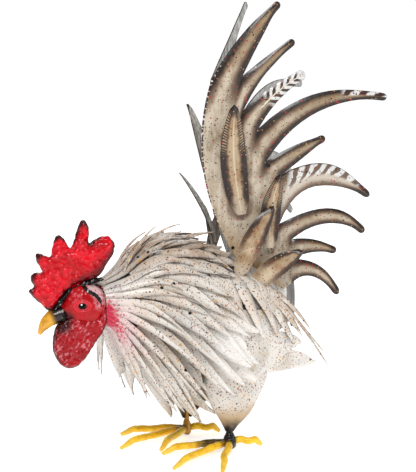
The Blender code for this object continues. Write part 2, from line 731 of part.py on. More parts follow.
def main():
    clear_scene()
    kept = new_collection("sheet_metal_rooster")
    cutters = new_collection("cutters")
    bird = bpy.data.objects.new(PARENT_NAME, None)
    kept.objects.link(bird)

    cream = paint("speckled_cream_paint", (0.78, 0.74, 0.68), 0.45)
    tan = paint("shaded_cream_paint", (0.55, 0.48, 0.40), 0.45)
    red = paint("glossy_red_paint", (0.55, 0.02, 0.03), 0.25)
    yellow = paint("ochre_yellow_paint", (0.80, 0.50, 0.05), 0.40)
    black = paint("glossy_black_paint", (0.01, 0.01, 0.01), 0.15)

    def add(name, data, material):
        return add_piece(name, data, kept, bird, material)

    # Head first, since the neck and all that is welded to the head is cut to it
    skull = lofted_mesh("head", skull_point, SKULL_SECTIONS[0][0], SKULL_SECTIONS[-1][0], 16, 12)
    head = add("head", skull, red)
    head.matrix_local = head_matrix()
    head_cutter = grown_copy(head, cutters)

    body_mesh = lofted_mesh("body", body_point, BODY_SECTIONS[0][0], BODY_SECTIONS[-1][0], 20, 16)
    body = add("body", body_mesh, cream)
    cut_with(body, head_cutter)
    body_cutter = grown_copy(body, cutters)

    comb = head_plate("comb", comb_outline(), COMB_THICKNESS, COMB_ROUNDING, 0.0, kept, bird, red)
    cut_with(comb, head_cutter)
    beak_points = [(-forward, 0.0, up) for forward, up in BEAK_PATH]
    beak = add("beak", rod_curve("beak", beak_points, BEAK_RADII, 3), yellow)
    beak.matrix_local = head_matrix()
    beak = as_mesh(beak)
    cut_with(beak, head_cutter)
    cut_with(beak, grown_copy(comb, cutters))
    beak_cutter = grown_copy(beak, cutters)
    for side, label in ((1, "left"), (-1, "right")):
        wattle = head_plate(
            f"{label}_wattle", wattle_outline(side), WATTLE_THICKNESS, WATTLE_ROUNDING,
            side * WATTLE_SPREAD, kept, bird, red,
        )
        cut_with(wattle, head_cutter)
        cut_with(wattle, body_cutter)
        cut_with(wattle, beak_cutter)
        form = bmesh.new()
        bmesh.ops.create_uvsphere(form, u_segments=10, v_segments=8, radius=EYE_RADIUS)
        eye = add(f"{label}_eye", finish_mesh(form, f"{label}_eye"), black)
        eye.matrix_local = head_matrix() @ Matrix.Translation((0.0, -side * EYE_SIDE, 0.0))
        cut_with(eye, head_cutter)

    for number, ring in enumerate(HACKLE_RINGS, 1):
        name = f"neck_hackle_ring_{number}"
        thicken(add(name, hackle_ring(name, ring), cream))

    for side, label in ((1, "left"), (-1, "right")):
        thicken(add(f"{label}_saddle_fan", saddle_mesh(f"{label}_saddle_fan", side), cream))
        wing = feathered_plate(
            f"{label}_wing", WING_LOBES, WING_START, WING_ROOTS, 0.0, 4, 2,
            lambda place, camber, side=side: on_wing(side, place, camber),
        )
        thicken(add(f"{label}_wing", wing, cream))

        rivet = add(f"{label}_wing_rivet", rivet_mesh(f"{label}_wing_rivet", side), tan)

        sickles = TAIL_SICKLES + (LEFT_LOWEST_SICKLE if side > 0 else RIGHT_LOWEST_SICKLE,)
        plate = feathered_plate(
            f"{label}_tail_plate", sickles, TAIL_START, TAIL_ROOTS, TRUNK_BOW, 6, 3,
            lambda place, camber, side=side: on_tail_plate(side, place, camber),
        )
        plate = thicken(add(f"{label}_tail_plate", plate, tan))
        cut_with(plate, body_cutter)
        feathers = {**TAIL_FEATHERS, **(LEFT_TAIL_FEATHERS if side > 0 else RIGHT_TAIL_FEATHERS)}
        for kind, row in feathers.items():
            name = f"{label}_{kind}_tail_feather"
            feather = thicken(add(name, feather_mesh(name, row, side), tan))
            cut_with(feather, body_cutter)

        foot = leg_foot(side)
        rod_points = [foot + Vector((0, 0, height)) for height, radius in ANKLE_PROFILE]
        rod_radii = [radius for height, radius in ANKLE_PROFILE]
        rod = add(f"{label}_shank", rod_curve("shank", rod_points, rod_radii, 4), black)
        rod = as_mesh(rod)
        cut_with(rod, body_cutter)
        thigh = thicken(add(f"{label}_thigh", thigh_mesh(f"{label}_thigh", side), cream))
        cut_with(thigh, body_cutter)
        guards = [grown_copy(rod, cutters)]
        for toe_name, tip in (LEFT_TOES if side > 0 else RIGHT_TOES).items():
            points = toe_points(foot, tip)
            radii = [TOE_RADIUS * share for share in TOE_SHAPE] + [NAIL_RADIUS]
            toe = add(f"{label}_{toe_name}_toe", rod_curve("toe", points, radii), yellow)
            toe = as_mesh(toe)
            for guard in guards:
                cut_with(toe, guard)
            guards.append(grown_copy(toe, cutters))

    stand_on_origin(bird, kept)


if __name__ == "__main__":
    main()
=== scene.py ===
import math
import random
from functools import partial

import bmesh
import bpy
from mathutils import Matrix, Vector, geometry, noise


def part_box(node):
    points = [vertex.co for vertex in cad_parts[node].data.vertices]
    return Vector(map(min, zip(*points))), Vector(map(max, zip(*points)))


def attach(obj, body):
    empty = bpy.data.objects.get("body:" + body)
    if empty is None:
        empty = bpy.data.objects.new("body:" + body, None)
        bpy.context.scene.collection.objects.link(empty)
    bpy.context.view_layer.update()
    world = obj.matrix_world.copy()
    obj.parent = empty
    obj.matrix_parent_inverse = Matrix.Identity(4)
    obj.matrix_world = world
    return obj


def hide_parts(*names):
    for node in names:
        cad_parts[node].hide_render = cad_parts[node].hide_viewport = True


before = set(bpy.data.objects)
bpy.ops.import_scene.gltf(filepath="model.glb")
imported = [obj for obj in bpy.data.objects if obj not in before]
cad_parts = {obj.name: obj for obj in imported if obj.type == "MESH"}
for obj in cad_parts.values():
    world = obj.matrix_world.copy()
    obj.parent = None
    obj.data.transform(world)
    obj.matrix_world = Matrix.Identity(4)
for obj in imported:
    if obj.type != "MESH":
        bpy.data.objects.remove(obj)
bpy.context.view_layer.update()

# Where the bird stands: places below count from a point on the floor midway between its two legs,
# behind it towards +X and upwards, and each finished piece is then moved there.
shank_boxes = (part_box("left_shank"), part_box("right_shank"))
left_leg, right_leg = ((low + high) / 2 for low, high in shank_boxes)
stands_at = (left_leg + right_leg) / 2
stands_at.z = 0.0

# Studio: a pale floor in a bright even room, with the camera low on the bird's left front. A broad
# soft lamp hangs high beside the camera, a weaker one to its right and one behind the bird.
bpy.ops.mesh.primitive_plane_add(size=120.0)
floor = bpy.context.object
floor.name = "studio_floor"
floor_paint = bpy.data.materials.new("pale_floor")
floor_paint.use_nodes = True
floor_shader = floor_paint.node_tree.nodes["Principled BSDF"]
floor_shader.inputs["Base Color"].default_value = (0.90, 0.90, 0.90, 1.0)
floor_shader.inputs["Roughness"].default_value = 0.9
floor_shader.inputs["Emission Color"].default_value = (1.0, 1.0, 1.0, 1.0)
floor_shader.inputs["Emission Strength"].default_value = 0.62
floor.data.materials.append(floor_paint)

FOCAL_LENGTH_IN_PIXELS = 1833.0
PHOTO_HEIGHT_IN_PIXELS = 472.0
FILM_HEIGHT = 36.0
camera_data = bpy.data.cameras.new("camera")
camera_data.lens = FOCAL_LENGTH_IN_PIXELS * FILM_HEIGHT / PHOTO_HEIGHT_IN_PIXELS
camera_data.clip_end = 150.0
camera = bpy.data.objects.new("camera", camera_data)
camera.location = Vector((-1.2240, -1.7486, 0.5872)) + stands_at
camera.rotation_euler = (math.radians(81.0), 0.0, math.radians(-35.0))
bpy.context.scene.collection.objects.link(camera)
bpy.context.scene.camera = camera
bpy.context.scene.view_settings.view_transform = "Standard"


def hang_lamp(name, place, power, size):
    """A square soft box that looks at the middle of the bird."""
    aim = Vector((0.0, 0.0, 0.22)) - Vector(place)
    lamp_data = bpy.data.lights.new(name, "AREA")
    lamp_data.energy = power
    lamp_data.size = size
    lamp = bpy.data.objects.new(name, lamp_data)
    lamp.location = place
    lamp.rotation_euler = aim.to_track_quat("-Z", "Y").to_euler()
    bpy.context.scene.collection.objects.link(lamp)


hang_lamp("key_soft_box", (-1.2, -1.5, 2.1), power=38.0, size=0.8)
hang_lamp("fill_soft_box", (1.6, -1.8, 1.0), power=9.0, size=1.4)
hang_lamp("back_soft_box", (0.8, 1.9, 1.6), power=12.0, size=1.4)
room = bpy.data.worlds.new("room")
room.use_nodes = True
room.node_tree.nodes["Background"].inputs["Color"].default_value = (1.0, 1.0, 1.0, 1.0)
room.node_tree.nodes["Background"].inputs["Strength"].default_value = 0.45
bpy.context.scene.world = room


# Body: an egg of two pressed sheet halves, welded shut. It shows between the hackle strands, where
# it is painted dark as the shade in the gaps, and bare between the saddles and the tail, where it
# is cream.
def ink(red, green, blue):
    """A colour as a paint chart gives it, 0 to 255, made linear."""
    return tuple((value / 255) ** 2.2 for value in (red, green, blue)) + (1.0,)


class Dab:
    """A value or colour on its way through a coat of paint, so that recipes read as arithmetic."""

    def __init__(self, coat, socket):
        self.coat = coat
        self.socket = socket

    def output(self, name):
        return Dab(self.coat, self.socket.node.outputs[name])

    def maths(self, operation, *values):
        return self.coat.node("Math", {"operation": operation}, dict(enumerate(values)))

    def __add__(self, other):
        return self.maths("ADD", self, other)

    def __sub__(self, other):
        return self.maths("SUBTRACT", self, other)

    def __rsub__(self, other):
        return self.maths("SUBTRACT", other, self)

    def __mul__(self, other):
        return self.maths("MULTIPLY", self, other)

    __radd__ = __add__
    __rmul__ = __mul__

    def __pow__(self, other):
        return self.maths("POWER", self, other)

    def __abs__(self):
        return self.maths("ABSOLUTE", self)

    def below(self, limit):
        return self.maths("LESS_THAN", self, limit)

    def at_most(self, limit):
        return self.maths("MINIMUM", self, limit)

    def at_least(self, limit):
        return self.maths("MAXIMUM", self, limit)

    def wave(self):
        """From 0 to 1 and back, once for each whole number."""
        return self.maths("PINGPONG", self, 0.5) * 2.0

    def rise(self, low, high):
        """Runs smoothly from 0 at low to 1 at high."""
        sockets = {0: self, 1: low, 2: high, 3: 0.0, 4: 1.0}
        return self.coat.node("MapRange", {"interpolation_type": "SMOOTHSTEP"}, sockets)


class Coat:
    """One paint finish: a ground colour, what is brushed and flicked over it, and its relief."""

    def __init__(self, name, ground, roughness, clear_coat=0.0, gloss=0.25):
        self.colour = ground
        self.material = bpy.data.materials.new(name)
        self.material.use_nodes = True
        self.nodes = self.material.node_tree.nodes
        self.shader = self.nodes["Principled BSDF"]
        self.shader.inputs["Roughness"].default_value = roughness
        self.shader.inputs["Coat Weight"].default_value = clear_coat
        self.shader.inputs["Coat Roughness"].default_value = 0.12
        self.shader.inputs["Specular IOR Level"].default_value = gloss
        self.place = self.node("TexCoord", {}, {}, "Object")

    def node(self, kind, settings, sockets, output=0):
        made = self.nodes.new("ShaderNode" + kind)
        for name, value in settings.items():
            if name == "stops":
                while len(made.color_ramp.elements) < len(value):
                    made.color_ramp.elements.new(0.5)
                for element, (position, colour) in zip(made.color_ramp.elements, value):
                    element.position = position
                    element.color = colour
            elif name == "steps":
                made.color_ramp.interpolation = value
            else:
                setattr(made, name, value)
        for name, value in sockets.items():
            if isinstance(value, Dab):
                self.material.node_tree.links.new(value.socket, made.inputs[name])
            else:
                made.inputs[name].default_value = value
        return Dab(self, made.outputs[output])

    def mark(self, name):
        """A value that the piece carries at each of its points."""
        return self.node("Attribute", {"attribute_name": name}, {}, "Fac")

    def axis(self, name):
        """How far along one axis a point lies."""
        return self.node("SeparateXYZ", {}, {0: self.place}, name)

    def moved(self, x=1.0, y=1.0, z=1.0):
        """The place, stretched along each axis."""
        return self.node("VectorMath", {"operation": "MULTIPLY"}, {0: self.place, 1: (x, y, z)})

    def cloud(self, size, detail=2.0, place=None):
        """Soft patches of about this size, from 0 to 1."""
        sockets = {"Vector": place or self.place, "Scale": 1 / size, "Detail": detail}
        return self.node("TexNoise", {}, sockets, "Fac")

    def mix(self, amount, under, over, way="MIX"):
        settings = {"data_type": "RGBA", "blend_type": way}
        return self.node("Mix", settings, {0: amount, 6: under, 7: over}, 2)

    def turned(self, rotation, scale):
        """The place along turned axes, so that patches grow by the scale along each of them."""
        sockets = {"Vector": self.place, "Rotation": rotation, "Scale": scale}
        return self.node("Mapping", {"vector_type": "TEXTURE"}, sockets)

    def near(self, centre, reach, full):
        """1 within the distance full of a place on the bird, 0 beyond reach."""
        ends = {0: self.place, 1: Vector(centre) + stands_at}
        gap = self.node("VectorMath", {"operation": "DISTANCE"}, ends, "Value")
        return gap.rise(reach, full)

    def brush(self, amount, colour, way="MIX"):
        """Brushes a colour over the coat, as thick as the amount says, from 0 to 1."""
        self.colour = self.mix(amount, self.colour, colour, way)

    def flick(self, spacing, radius, share, colours):
        """Round drops of flicked paint, on a share of the places that lie the spacing apart."""
        cells = {"Vector": self.place, "Scale": 1 / spacing}
        gap = self.node("TexVoronoi", {}, cells, "Distance")
        chance = self.node("SeparateColor", {}, {0: gap.output("Color")}, "Red")
        stops = [(number / len(colours), colour) for number, colour in enumerate(colours)]
        settings = {"stops": stops, "steps": "CONSTANT"}
        drop = self.node("ValToRGB", settings, {0: chance.output("Green")})
        size = radius / spacing
        self.brush(gap.rise(1.25 * size, 0.75 * size) * chance.below(share), drop)

    def finished(self, relief=None, depth=0.001):
        """The dry paint, with the colour that it has come to and this relief."""
        links = self.material.node_tree.links
        links.new(self.colour.socket, self.shader.inputs["Base Color"])
        if relief is not None:
            sockets = {"Strength": 1.0, "Distance": depth, "Height": relief}
            links.new(self.node("Bump", {}, sockets, "Normal").socket, self.shader.inputs["Normal"])
        return self.material


black_drop = ink(18, 14, 14)
brown_drop = ink(92, 52, 34)
ochre_drop = ink(214, 150, 48)
yellow_drop = ink(240, 172, 40)
red_drop = ink(160, 40, 38)


def cream_paint(name):
    """Cream enamel with warm and cool clouds, and three sizes of drops flicked over it."""
    coat = Coat(name, ink(217, 212, 204), roughness=0.42, clear_coat=0.25)
    coat.brush(coat.cloud(0.05).rise(0.42, 0.66) * 0.42, ink(204, 184, 162))
    coat.brush(coat.cloud(0.022, 3.0).rise(0.52, 0.72) * 0.5, ink(192, 194, 194))
    tan_drop, grey_drop, rose_drop = ink(150, 96, 70), ink(70, 56, 52), ink(186, 120, 96)
    fine = [brown_drop, tan_drop, ochre_drop, grey_drop, rose_drop, brown_drop]
    coat.flick(0.0025, 0.00068, 0.88, fine)
    middling = [black_drop, ochre_drop, red_drop, brown_drop, ink(200, 140, 60), ink(150, 70, 60)]
    coat.flick(0.0054, 0.00105, 0.64, middling)
    coat.flick(0.0140, 0.0020, 0.50, [black_drop, brown_drop, black_drop, yellow_drop])
    return coat


# Rows are the distance behind the legs, the height of the middle, and the half width and height.
BODY_SECTIONS = (
    (-0.163, 0.188, 0.000, 0.000),
    (-0.150, 0.187, 0.017, 0.020),
    (-0.125, 0.184, 0.028, 0.034),
    (-0.095, 0.183, 0.041, 0.056),
    (-0.060, 0.174, 0.052, 0.074),
    (-0.020, 0.157, 0.061, 0.084),
    (0.020, 0.149, 0.064, 0.080),
    (0.055, 0.153, 0.056, 0.066),
    (0.082, 0.163, 0.041, 0.045),
    (0.099, 0.171, 0.024, 0.026),
    (0.111, 0.175, 0.000, 0.000),
)


def through_stations(places, values, at):
    """Value at a place, on the smooth curve through the stations that never overshoots them."""
    spans = range(len(places) - 1)
    steps = [(values[i + 1] - values[i]) / (places[i + 1] - places[i]) for i in spans]
    slopes = [steps[0]]
    for before, after in zip(steps, steps[1:]):
        slopes.append(2 * before * after / (before + after) if before * after > 0 else 0.0)
    slopes.append(steps[-1])
    at = min(max(at, places[0]), places[-1])
    last = next((i for i in range(1, len(places)) if at <= places[i]), len(places) - 1)
    span = places[last] - places[last - 1]
    t = (at - places[last - 1]) / span
    return (
        values[last - 1] * (2 * t**3 - 3 * t**2 + 1)
        + values[last] * (3 * t**2 - 2 * t**3)
        + span * slopes[last - 1] * (t**3 - 2 * t**2 + t)
        + span * slopes[last] * (t**3 - t**2)
    )


# Every point of a piece asks for a section, so those that are worked out are kept.
section_table = {}


def section_at(sections, place):
    """Centre, half width and half height of a rounded form at a place along it."""
    key = (id(sections), round(place, 4))
    if key not in section_table:
        places = [row[0] for row in sections]
        centre = through_stations(places, [row[1] for row in sections], place)
        width = through_stations(places, [row[2] ** 2 for row in sections], place)
        height = through_stations(places, [row[3] ** 2 for row in sections], place)
        section_table[key] = (centre, math.sqrt(max(width, 0.0)), math.sqrt(max(height, 0.0)))
    return section_table[key]


def alone(piece):
    """Makes a piece the only one selected, so that an operator acts on nothing else."""
    bpy.ops.object.select_all(action="DESELECT")
    piece.select_set(True)
    bpy.context.view_layer.objects.active = piece


def apply_modifier(piece, kind, **settings):
    alone(piece)
    modifier = piece.modifiers.new(kind.title(), kind)
    for name, value in settings.items():
        setattr(modifier, name, value)
    bpy.ops.object.modifier_apply(modifier=modifier.name)


def settle(piece, name, slot, coats, *nodes):
    """Moves a finished piece to where the bird stands, names and paints it, hangs it on the root
    body and hides the CAD nodes it dresses.
    """
    piece.name = name
    piece.data.name = name
    piece.data.transform(Matrix.Translation(stands_at))
    for number, coat in enumerate(coats):
        if number < len(piece.data.materials):
            piece.data.materials[number] = coat
        else:
            piece.data.materials.append(coat)
    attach(piece, "root")
    if nodes:
        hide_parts(*nodes)


def egg(sections, place, angle):
    centre, width, height = section_at(sections, place)
    return Vector((place, -width * math.sin(angle), centre + height * math.cos(angle)))


def close_up(piece, gap=None, turn_out=True):
    """Welds the points of a piece that lie closer than the gap, and turns its faces outwards."""
    alone(piece)
    bpy.ops.object.mode_set(mode="EDIT")
    bpy.ops.mesh.select_all(action="SELECT")
    if gap:
        bpy.ops.mesh.remove_doubles(threshold=gap)
    if turn_out:
        bpy.ops.mesh.normals_make_consistent(inside=False)
    bpy.ops.object.mode_set(mode="OBJECT")


def turned_egg(sections, around, along):
    """A ball whose rings are pulled out to the sections of a rounded form."""
    bpy.ops.object.select_all(action="DESELECT")
    bpy.ops.mesh.primitive_uv_sphere_add(segments=around, ring_count=along, radius=1.0)
    form = bpy.context.object
    first, last = sections[0][0], sections[-1][0]
    for vertex in form.data.vertices:
        share = (1 - max(-1.0, min(1.0, vertex.co.z))) / 2
        angle = math.atan2(vertex.co.y, vertex.co.x)
        vertex.co = egg(sections, first + (last - first) * share, angle)
    close_up(form)
    bpy.ops.object.shade_smooth()
    return form


shell_coat = cream_paint("cream_paint_on_shell")
# Painted shade: the shell is darkened ahead of the saddles, where it shows in the gaps between the
# hackle strands.
painted_shade_under_feathers = shell_coat.axis("X").rise(0.040 + stands_at.x, 0.010 + stands_at.x)
shell_coat.brush(painted_shade_under_feathers * 0.85, ink(46, 38, 34))
shell_coat.brush(shell_coat.near((-0.165, 0.0, 0.185), 0.034, 0.022), ink(120, 8, 34))
shell_paint = shell_coat.finished(shell_coat.cloud(0.006, 3.0), depth=0.0006)
shell = turned_egg(BODY_SECTIONS, around=64, along=48)
settle(shell, "body_shell", "speckled_cream_paint", [shell_paint], "body")


# Neck hackles: five collars of strands sheared from thin sheet, one over the other from the head
# back, and a tuft on the back. Each strand is pressed hollow, and its lower edge is lifted.

# Rows are a collar's distance behind the legs, the length of its strands on the back, the flank and
# the chest, how far those of the chest flare, how far round it goes and how many strands it has.
HACKLE_RINGS = (
    (-0.139, 0.062, 0.074, 0.084, 2.4, math.pi, 26),
    (-0.117, 0.074, 0.084, 0.096, 1.5, math.pi, 28),
    (-0.092, 0.074, 0.088, 0.092, 1.0, math.pi, 30),
    (-0.064, 0.056, 0.082, 0.066, 0.62, math.pi, 32),
    (-0.034, 0.034, 0.062, 0.060, 0.36, math.radians(112), 20),
    (-0.006, 0.026, 0.030, 0.030, 0.36, math.radians(32), 6),
)
BACK_FLARE = 0.160
SIDE_FLARE = 0.175
HACKLE_DROOP = math.radians(24)
FLANK_HANG = 0.45
FLANK_END = 0.050
CHEST_FRINGE = -0.04806


def folded(angle):
    """The angle from the back, the same on both flanks."""
    return abs(math.remainder(angle, 2 * math.pi))


def over_body(place, angle, lift):
    """A place at a lift off the body. Below the flank it hangs steeper than the body curls."""
    centre, width, height = section_at(BODY_SECTIONS, min(place, FLANK_END))
    away = folded(angle)
    curl = abs(math.sin(away))
    if away > math.pi / 2:
        under = 2 * away / math.pi - 1
        hang = FLANK_HANG + (1 - FLANK_HANG) * under**2
        curl = math.sqrt(max(0.0, 1 - (hang * math.cos(away)) ** 2))
    side = -math.copysign(curl, math.remainder(angle, 2 * math.pi))
    return Vector((place, side * (width + lift), centre + (height + lift) * math.cos(away)))


def girth_radius(place):
    centre, width, height = section_at(BODY_SECTIONS, min(place, FLANK_END))
    return (width + height) / 2


def between_three(back, side, belly, angle):
    """Blends a value over the back, on the flank and under the belly."""
    share = (1 - math.cos(angle)) / 2
    above = back * (1 - share) * (1 - 2 * share)
    return above + 4 * side * share * (1 - share) + belly * share * (2 * share - 1)


def mark_points(piece, name, values):
    """Gives each point of a piece a value, which its paint can read."""
    mark = piece.data.attributes.new(name, "FLOAT", "POINT")
    mark.data.foreach_set("value", values)


def cut_strip(rows, cells):
    """A flat strip of sheet as cut, from -1 at its root to 1 at its tip and from -1 to 1 across."""
    bpy.ops.object.select_all(action="DESELECT")
    bpy.ops.mesh.primitive_grid_add(x_subdivisions=rows, y_subdivisions=cells, size=2.0)
    strip = bpy.context.object
    along = [vertex.co.x for vertex in strip.data.vertices]
    across = [vertex.co.y for vertex in strip.data.vertices]
    mark_points(strip, "along", along)
    mark_points(strip, "across", across)
    mark_points(strip, "edge", [abs(value) for value in across])
    return strip


def bend_strips(strip, folds, inside, sheet, weld=False):
    """One bent copy of the strip for each fold, joined and given the sheet's thickness.

    Each copy is marked with its number and a chance value. The side away from inside is the front.
    """
    copies = []
    for number, fold in enumerate(folds):
        bent = strip.copy()
        bent.data = strip.data.copy()
        bpy.context.scene.collection.objects.link(bent)
        for vertex in bent.data.vertices:
            vertex.co = fold(vertex.co.x, vertex.co.y)
        points = len(bent.data.vertices)
        mark_points(bent, "number", [float(number)] * points)
        mark_points(bent, "chance", [random.random()] * points)
        bent.data.update()
        faces = bent.data.polygons
        facing = sum(face.normal.dot(face.center - Vector(inside)) * face.area for face in faces)
        if facing < 0:
            bent.data.flip_normals()
        copies.append(bent)
    bpy.data.objects.remove(strip)
    bpy.ops.object.select_all(action="DESELECT")
    for bent in copies:
        bent.select_set(True)
    whole = copies[0]
    bpy.context.view_layer.objects.active = whole
    if len(copies) > 1:
        bpy.ops.object.join()
    close_up(whole, 0.00012 if weld else 0.00002, turn_out=False)
    for side_of_sheet in ("front", "back"):
        whole.data.materials.append(None)
    apply_modifier(whole, "SOLIDIFY", thickness=sheet, offset=0.0, material_offset=1)
    alone(whole)
    bpy.ops.object.shade_smooth_by_angle(angle=math.radians(42))
    return whole


def hackle_fold(ring, angle, root_half, wander, share):
    """How one hackle strand lies: it droops towards the chest, wanders a little and tapers."""
    start, back, side, chest, chest_flare = ring[:5]
    around = folded(angle)
    # Its root runs on under the collar in front, or under the head.
    hidden = 0.0135 if start < -0.130 else 0.003
    length = between_three(back, side, chest, around)
    length *= 1 + 0.07 * math.sin(7 * angle + 40 * start)
    # The strands of the chest end together, in a fringe that slants down from the head.
    if math.radians(116) < around < math.radians(172):
        length = min(length, CHEST_FRINGE - 1.2 * start)
    length *= share
    turn = math.copysign(1.0, math.remainder(angle, 2 * math.pi))
    first_flare = max(BACK_FLARE, between_three(BACK_FLARE, SIDE_FLARE, chest_flare, around))
    under = max(0.0, -math.cos(angle))

    def fold(along, across):
        t = (along + 1) / 2
        run = t * length / math.hypot(1, first_flare + 0.3) - (1 - t) * hidden
        now = angle + turn * (HACKLE_DROOP * math.sin(around) * t + wander * t**2)
        flare = between_three(BACK_FLARE, SIDE_FLARE, chest_flare, min(folded(now), math.pi))
        taper = (1 - t ** (4 + 2 * under)) ** 0.9
        width = (1 + 0.55 * math.sin(math.pi * min(1.0, t / 0.8))) * taper
        half = root_half * width * (1 + 0.30 * under * t)
        lift = 0.0026 + max(0.0, run) * max(BACK_FLARE, flare) * (1 - 0.16 * t**2)
        lift += 0.0009 * across + 0.0010 * (1 - across**2)
        sideways = turn * across * half + 0.0022 * math.sin(5 * t + 30 * wander) * t
        return over_body(start + run, now + sideways / (girth_radius(start + run) + lift), lift)

    return fold


def feather_coat(name, front=True):
    """Cream paint with painted shadow along the cut edges, pink at the head, tan on the back and
    ochre at low tips.
    """
    coat = cream_paint(name)
    back = coat.axis("Z").rise(0.205, 0.250) * coat.cloud(0.012).rise(0.30, 0.62)
    coat.brush(back * 0.75, ink(206, 176, 146), "MULTIPLY")
    coat.brush(coat.mark("chance") * 0.22, ink(226, 206, 190), "MULTIPLY")
    saddle = coat.axis("X").rise(0.026 + stands_at.x, 0.060 + stands_at.x)
    coat.brush(saddle * coat.cloud(0.014).rise(0.34, 0.58) * 0.55, ink(206, 184, 160), "MULTIPLY")
    if not front:
        coat.brush(0.55, ink(150, 146, 142))
    streak = coat.cloud(0.0022, 3.0, coat.moved(0.25, 1.0, 1.0))
    blush = coat.near((-0.160, -0.020, 0.160), 0.038, 0.002)
    blush += coat.near((-0.155, -0.020, 0.180), 0.030, 0.0)
    blush += coat.near((-0.148, -0.029, 0.146), 0.036, 0.0) * 0.75
    blush = blush * 1.4 + (streak - 0.60) * 3.0
    coat.brush(coat.near((-0.152, -0.022, 0.156), 0.055, 0.010) * 0.28, ink(230, 130, 156))
    coat.brush(blush.rise(0.25, 1.45) * 0.97, ink(196, 2, 60))
    coat.brush(coat.near((-0.066, -0.040, 0.034), 0.024, 0.008) * 0.9, ink(222, 165, 60))
    # Painted shade across each strand, darker towards its lifted lower edge.
    coat.brush(coat.mark("across").rise(0.0, 1.0) * 0.48, ink(146, 140, 134), "MULTIPLY")
    # Painted light on the lower left flank, which is kept free of the painted edge shadow and
    # washed paler.
    smooth = coat.near((0.004, -0.080, 0.105), 0.075, 0.035)
    # Painted shadow: broken dark lines along the cut edges, where each strand shades the next; left
    # off the lower left flank.
    edge = coat.mark("edge").rise(0.88, 0.98) * coat.cloud(0.012).rise(0.38, 0.54) * (1.0 - smooth)
    coat.brush(edge * 0.85, ink(50, 44, 44))
    coat.brush(smooth * 0.55, ink(244, 242, 238))
    return coat.finished(coat.cloud(0.0030, 2.0), depth=0.0004)


random.seed(7)
hackle_paint = [feather_coat("hackle_paint"), feather_coat("hackle_back_paint", False)]
for number, ring in enumerate(HACKLE_RINGS, 1):
    start, reach, strands = ring[0], *ring[5:]
    step = 2 * reach / strands
    half = step * girth_radius(start) * 0.57
    folds = []
    for strand in range(strands):
        angle = (strand + 0.5) * step - reach + random.uniform(-0.15, 0.15) * step
        wide = half * random.uniform(0.82, 1.12)
        wander = random.uniform(-0.12, 0.12)
        folds.append(hackle_fold(ring, angle, wide, wander, random.uniform(0.86, 1.04)))
    collar = bend_strips(cut_strip(14, 4), folds, (start + 0.03, 0.0, 0.165), sheet=0.0009)
    node = f"neck_hackle_ring_{number}"
    settle(collar, f"hackle_collar_{number}", "speckled_cream_paint", hackle_paint, node)


# Fly-away strands: long thin hackles sheared from the same sheet. They are rooted among the
# collars, spring up off the top of the neck and trail over the back. Rows are root, bend and tip.
FLYAWAYS = (
    ((-0.126, -0.014, 0.222), (-0.112, -0.014, 0.248), (-0.091, -0.012, 0.2635)),
    ((-0.110, -0.006, 0.225), (-0.098, -0.004, 0.256), (-0.072, 0.002, 0.2665)),
    ((-0.096, -0.020, 0.236), (-0.070, -0.016, 0.258), (-0.046, -0.012, 0.2600)),
    ((-0.090, 0.004, 0.240), (-0.070, 0.003, 0.264), (-0.038, 0.002, 0.2660)),
    ((-0.070, -0.010, 0.244), (-0.040, -0.010, 0.258), (-0.004, -0.006, 0.2540)),
    ((-0.055, -0.002, 0.240), (-0.022, -0.001, 0.255), (0.012, 0.003, 0.2520)),
    ((-0.118, 0.016, 0.220), (-0.104, 0.018, 0.248), (-0.076, 0.018, 0.2580)),
    ((-0.080, 0.020, 0.236), (-0.052, 0.022, 0.252), (-0.020, 0.020, 0.2500)),
)


def bent_edge(start, handle, end, t):
    """Point on the edge from start to end that the handle bends."""
    return Vector(start) * (1 - t) ** 2 + Vector(handle) * 2 * t * (1 - t) + Vector(end) * t**2


def flyaway_fold(root, bend, tip):
    def fold(along, across):
        t = (along + 1) / 2
        half = 0.0019 * (1 - 0.75 * t**2) * (1 - t**12)
        pressed = 0.0006 * (1 - across**2)
        off = Vector((0.0, across * half * 0.8, across * half * 0.5 + pressed))
        return bent_edge(root, bend, tip, t) + off

    return fold


flyaway_folds = [flyaway_fold(*row) for row in FLYAWAYS]
flyaways = bend_strips(cut_strip(16, 4), flyaway_folds, (-0.05, 0.0, 0.150), sheet=0.0008)
settle(flyaways, "flyaway_hackles", "speckled_cream_paint", hackle_paint)


# Saddles: a fan of broad strands on each flank, held under the tail and lying over the wing, with
# two thin spikes behind. Rows are a strand's root and tip, as distance behind the legs and degrees
# round from the back, and its half width.
SADDLE_STRANDS = (
    ((-0.026, 47), (-0.022, 92), 0.0076),
    ((-0.013, 47), (0.002, 101), 0.0080),
    ((0.002, 47), (0.030, 98), 0.0080),
    ((0.017, 48), (0.056, 104), 0.0078),
    ((0.031, 50), (0.078, 111), 0.0072),
    ((0.043, 53), (0.087, 104), 0.0060),
    ((0.047, 57), (0.098, 99), 0.0034),
    ((0.046, 57), (0.118, 120), 0.0021),
    ((0.050, 60), (0.130, 138), 0.0018),
)


def saddle_fold(side, number, row):
    root, tip = (Vector((place, math.radians(angle))) for place, angle in row[:2])
    radius = girth_radius(0.0)
    path = (tip - root) * Vector((1.0, radius))
    sideways = Vector((path.y, -path.x)).normalized()
    wander = 0.0022 * math.sin(2.4 * number)

    def fold(along, across):
        t = (along + 1) / 2
        place = root + (tip - root) * (t * 1.10 - 0.06)
        taper = (1 - max(0.0, t - 0.35) / 0.65) ** 0.55
        half = row[2] * (1 + 0.15 * math.sin(math.pi * min(1.0, t / 0.6))) * taper
        step = across * half + wander * math.sin(math.pi * t)
        place += Vector((sideways.x, sideways.y / radius)) * step
        lift = 0.0054 * min(1.0, 5 * t) - 0.0006 + 0.0012 * number * t**2
        lift += 0.0010 * (1 - across**2) - 0.0007 * across
        return over_body(place.x, side * place.y, lift)

    return fold


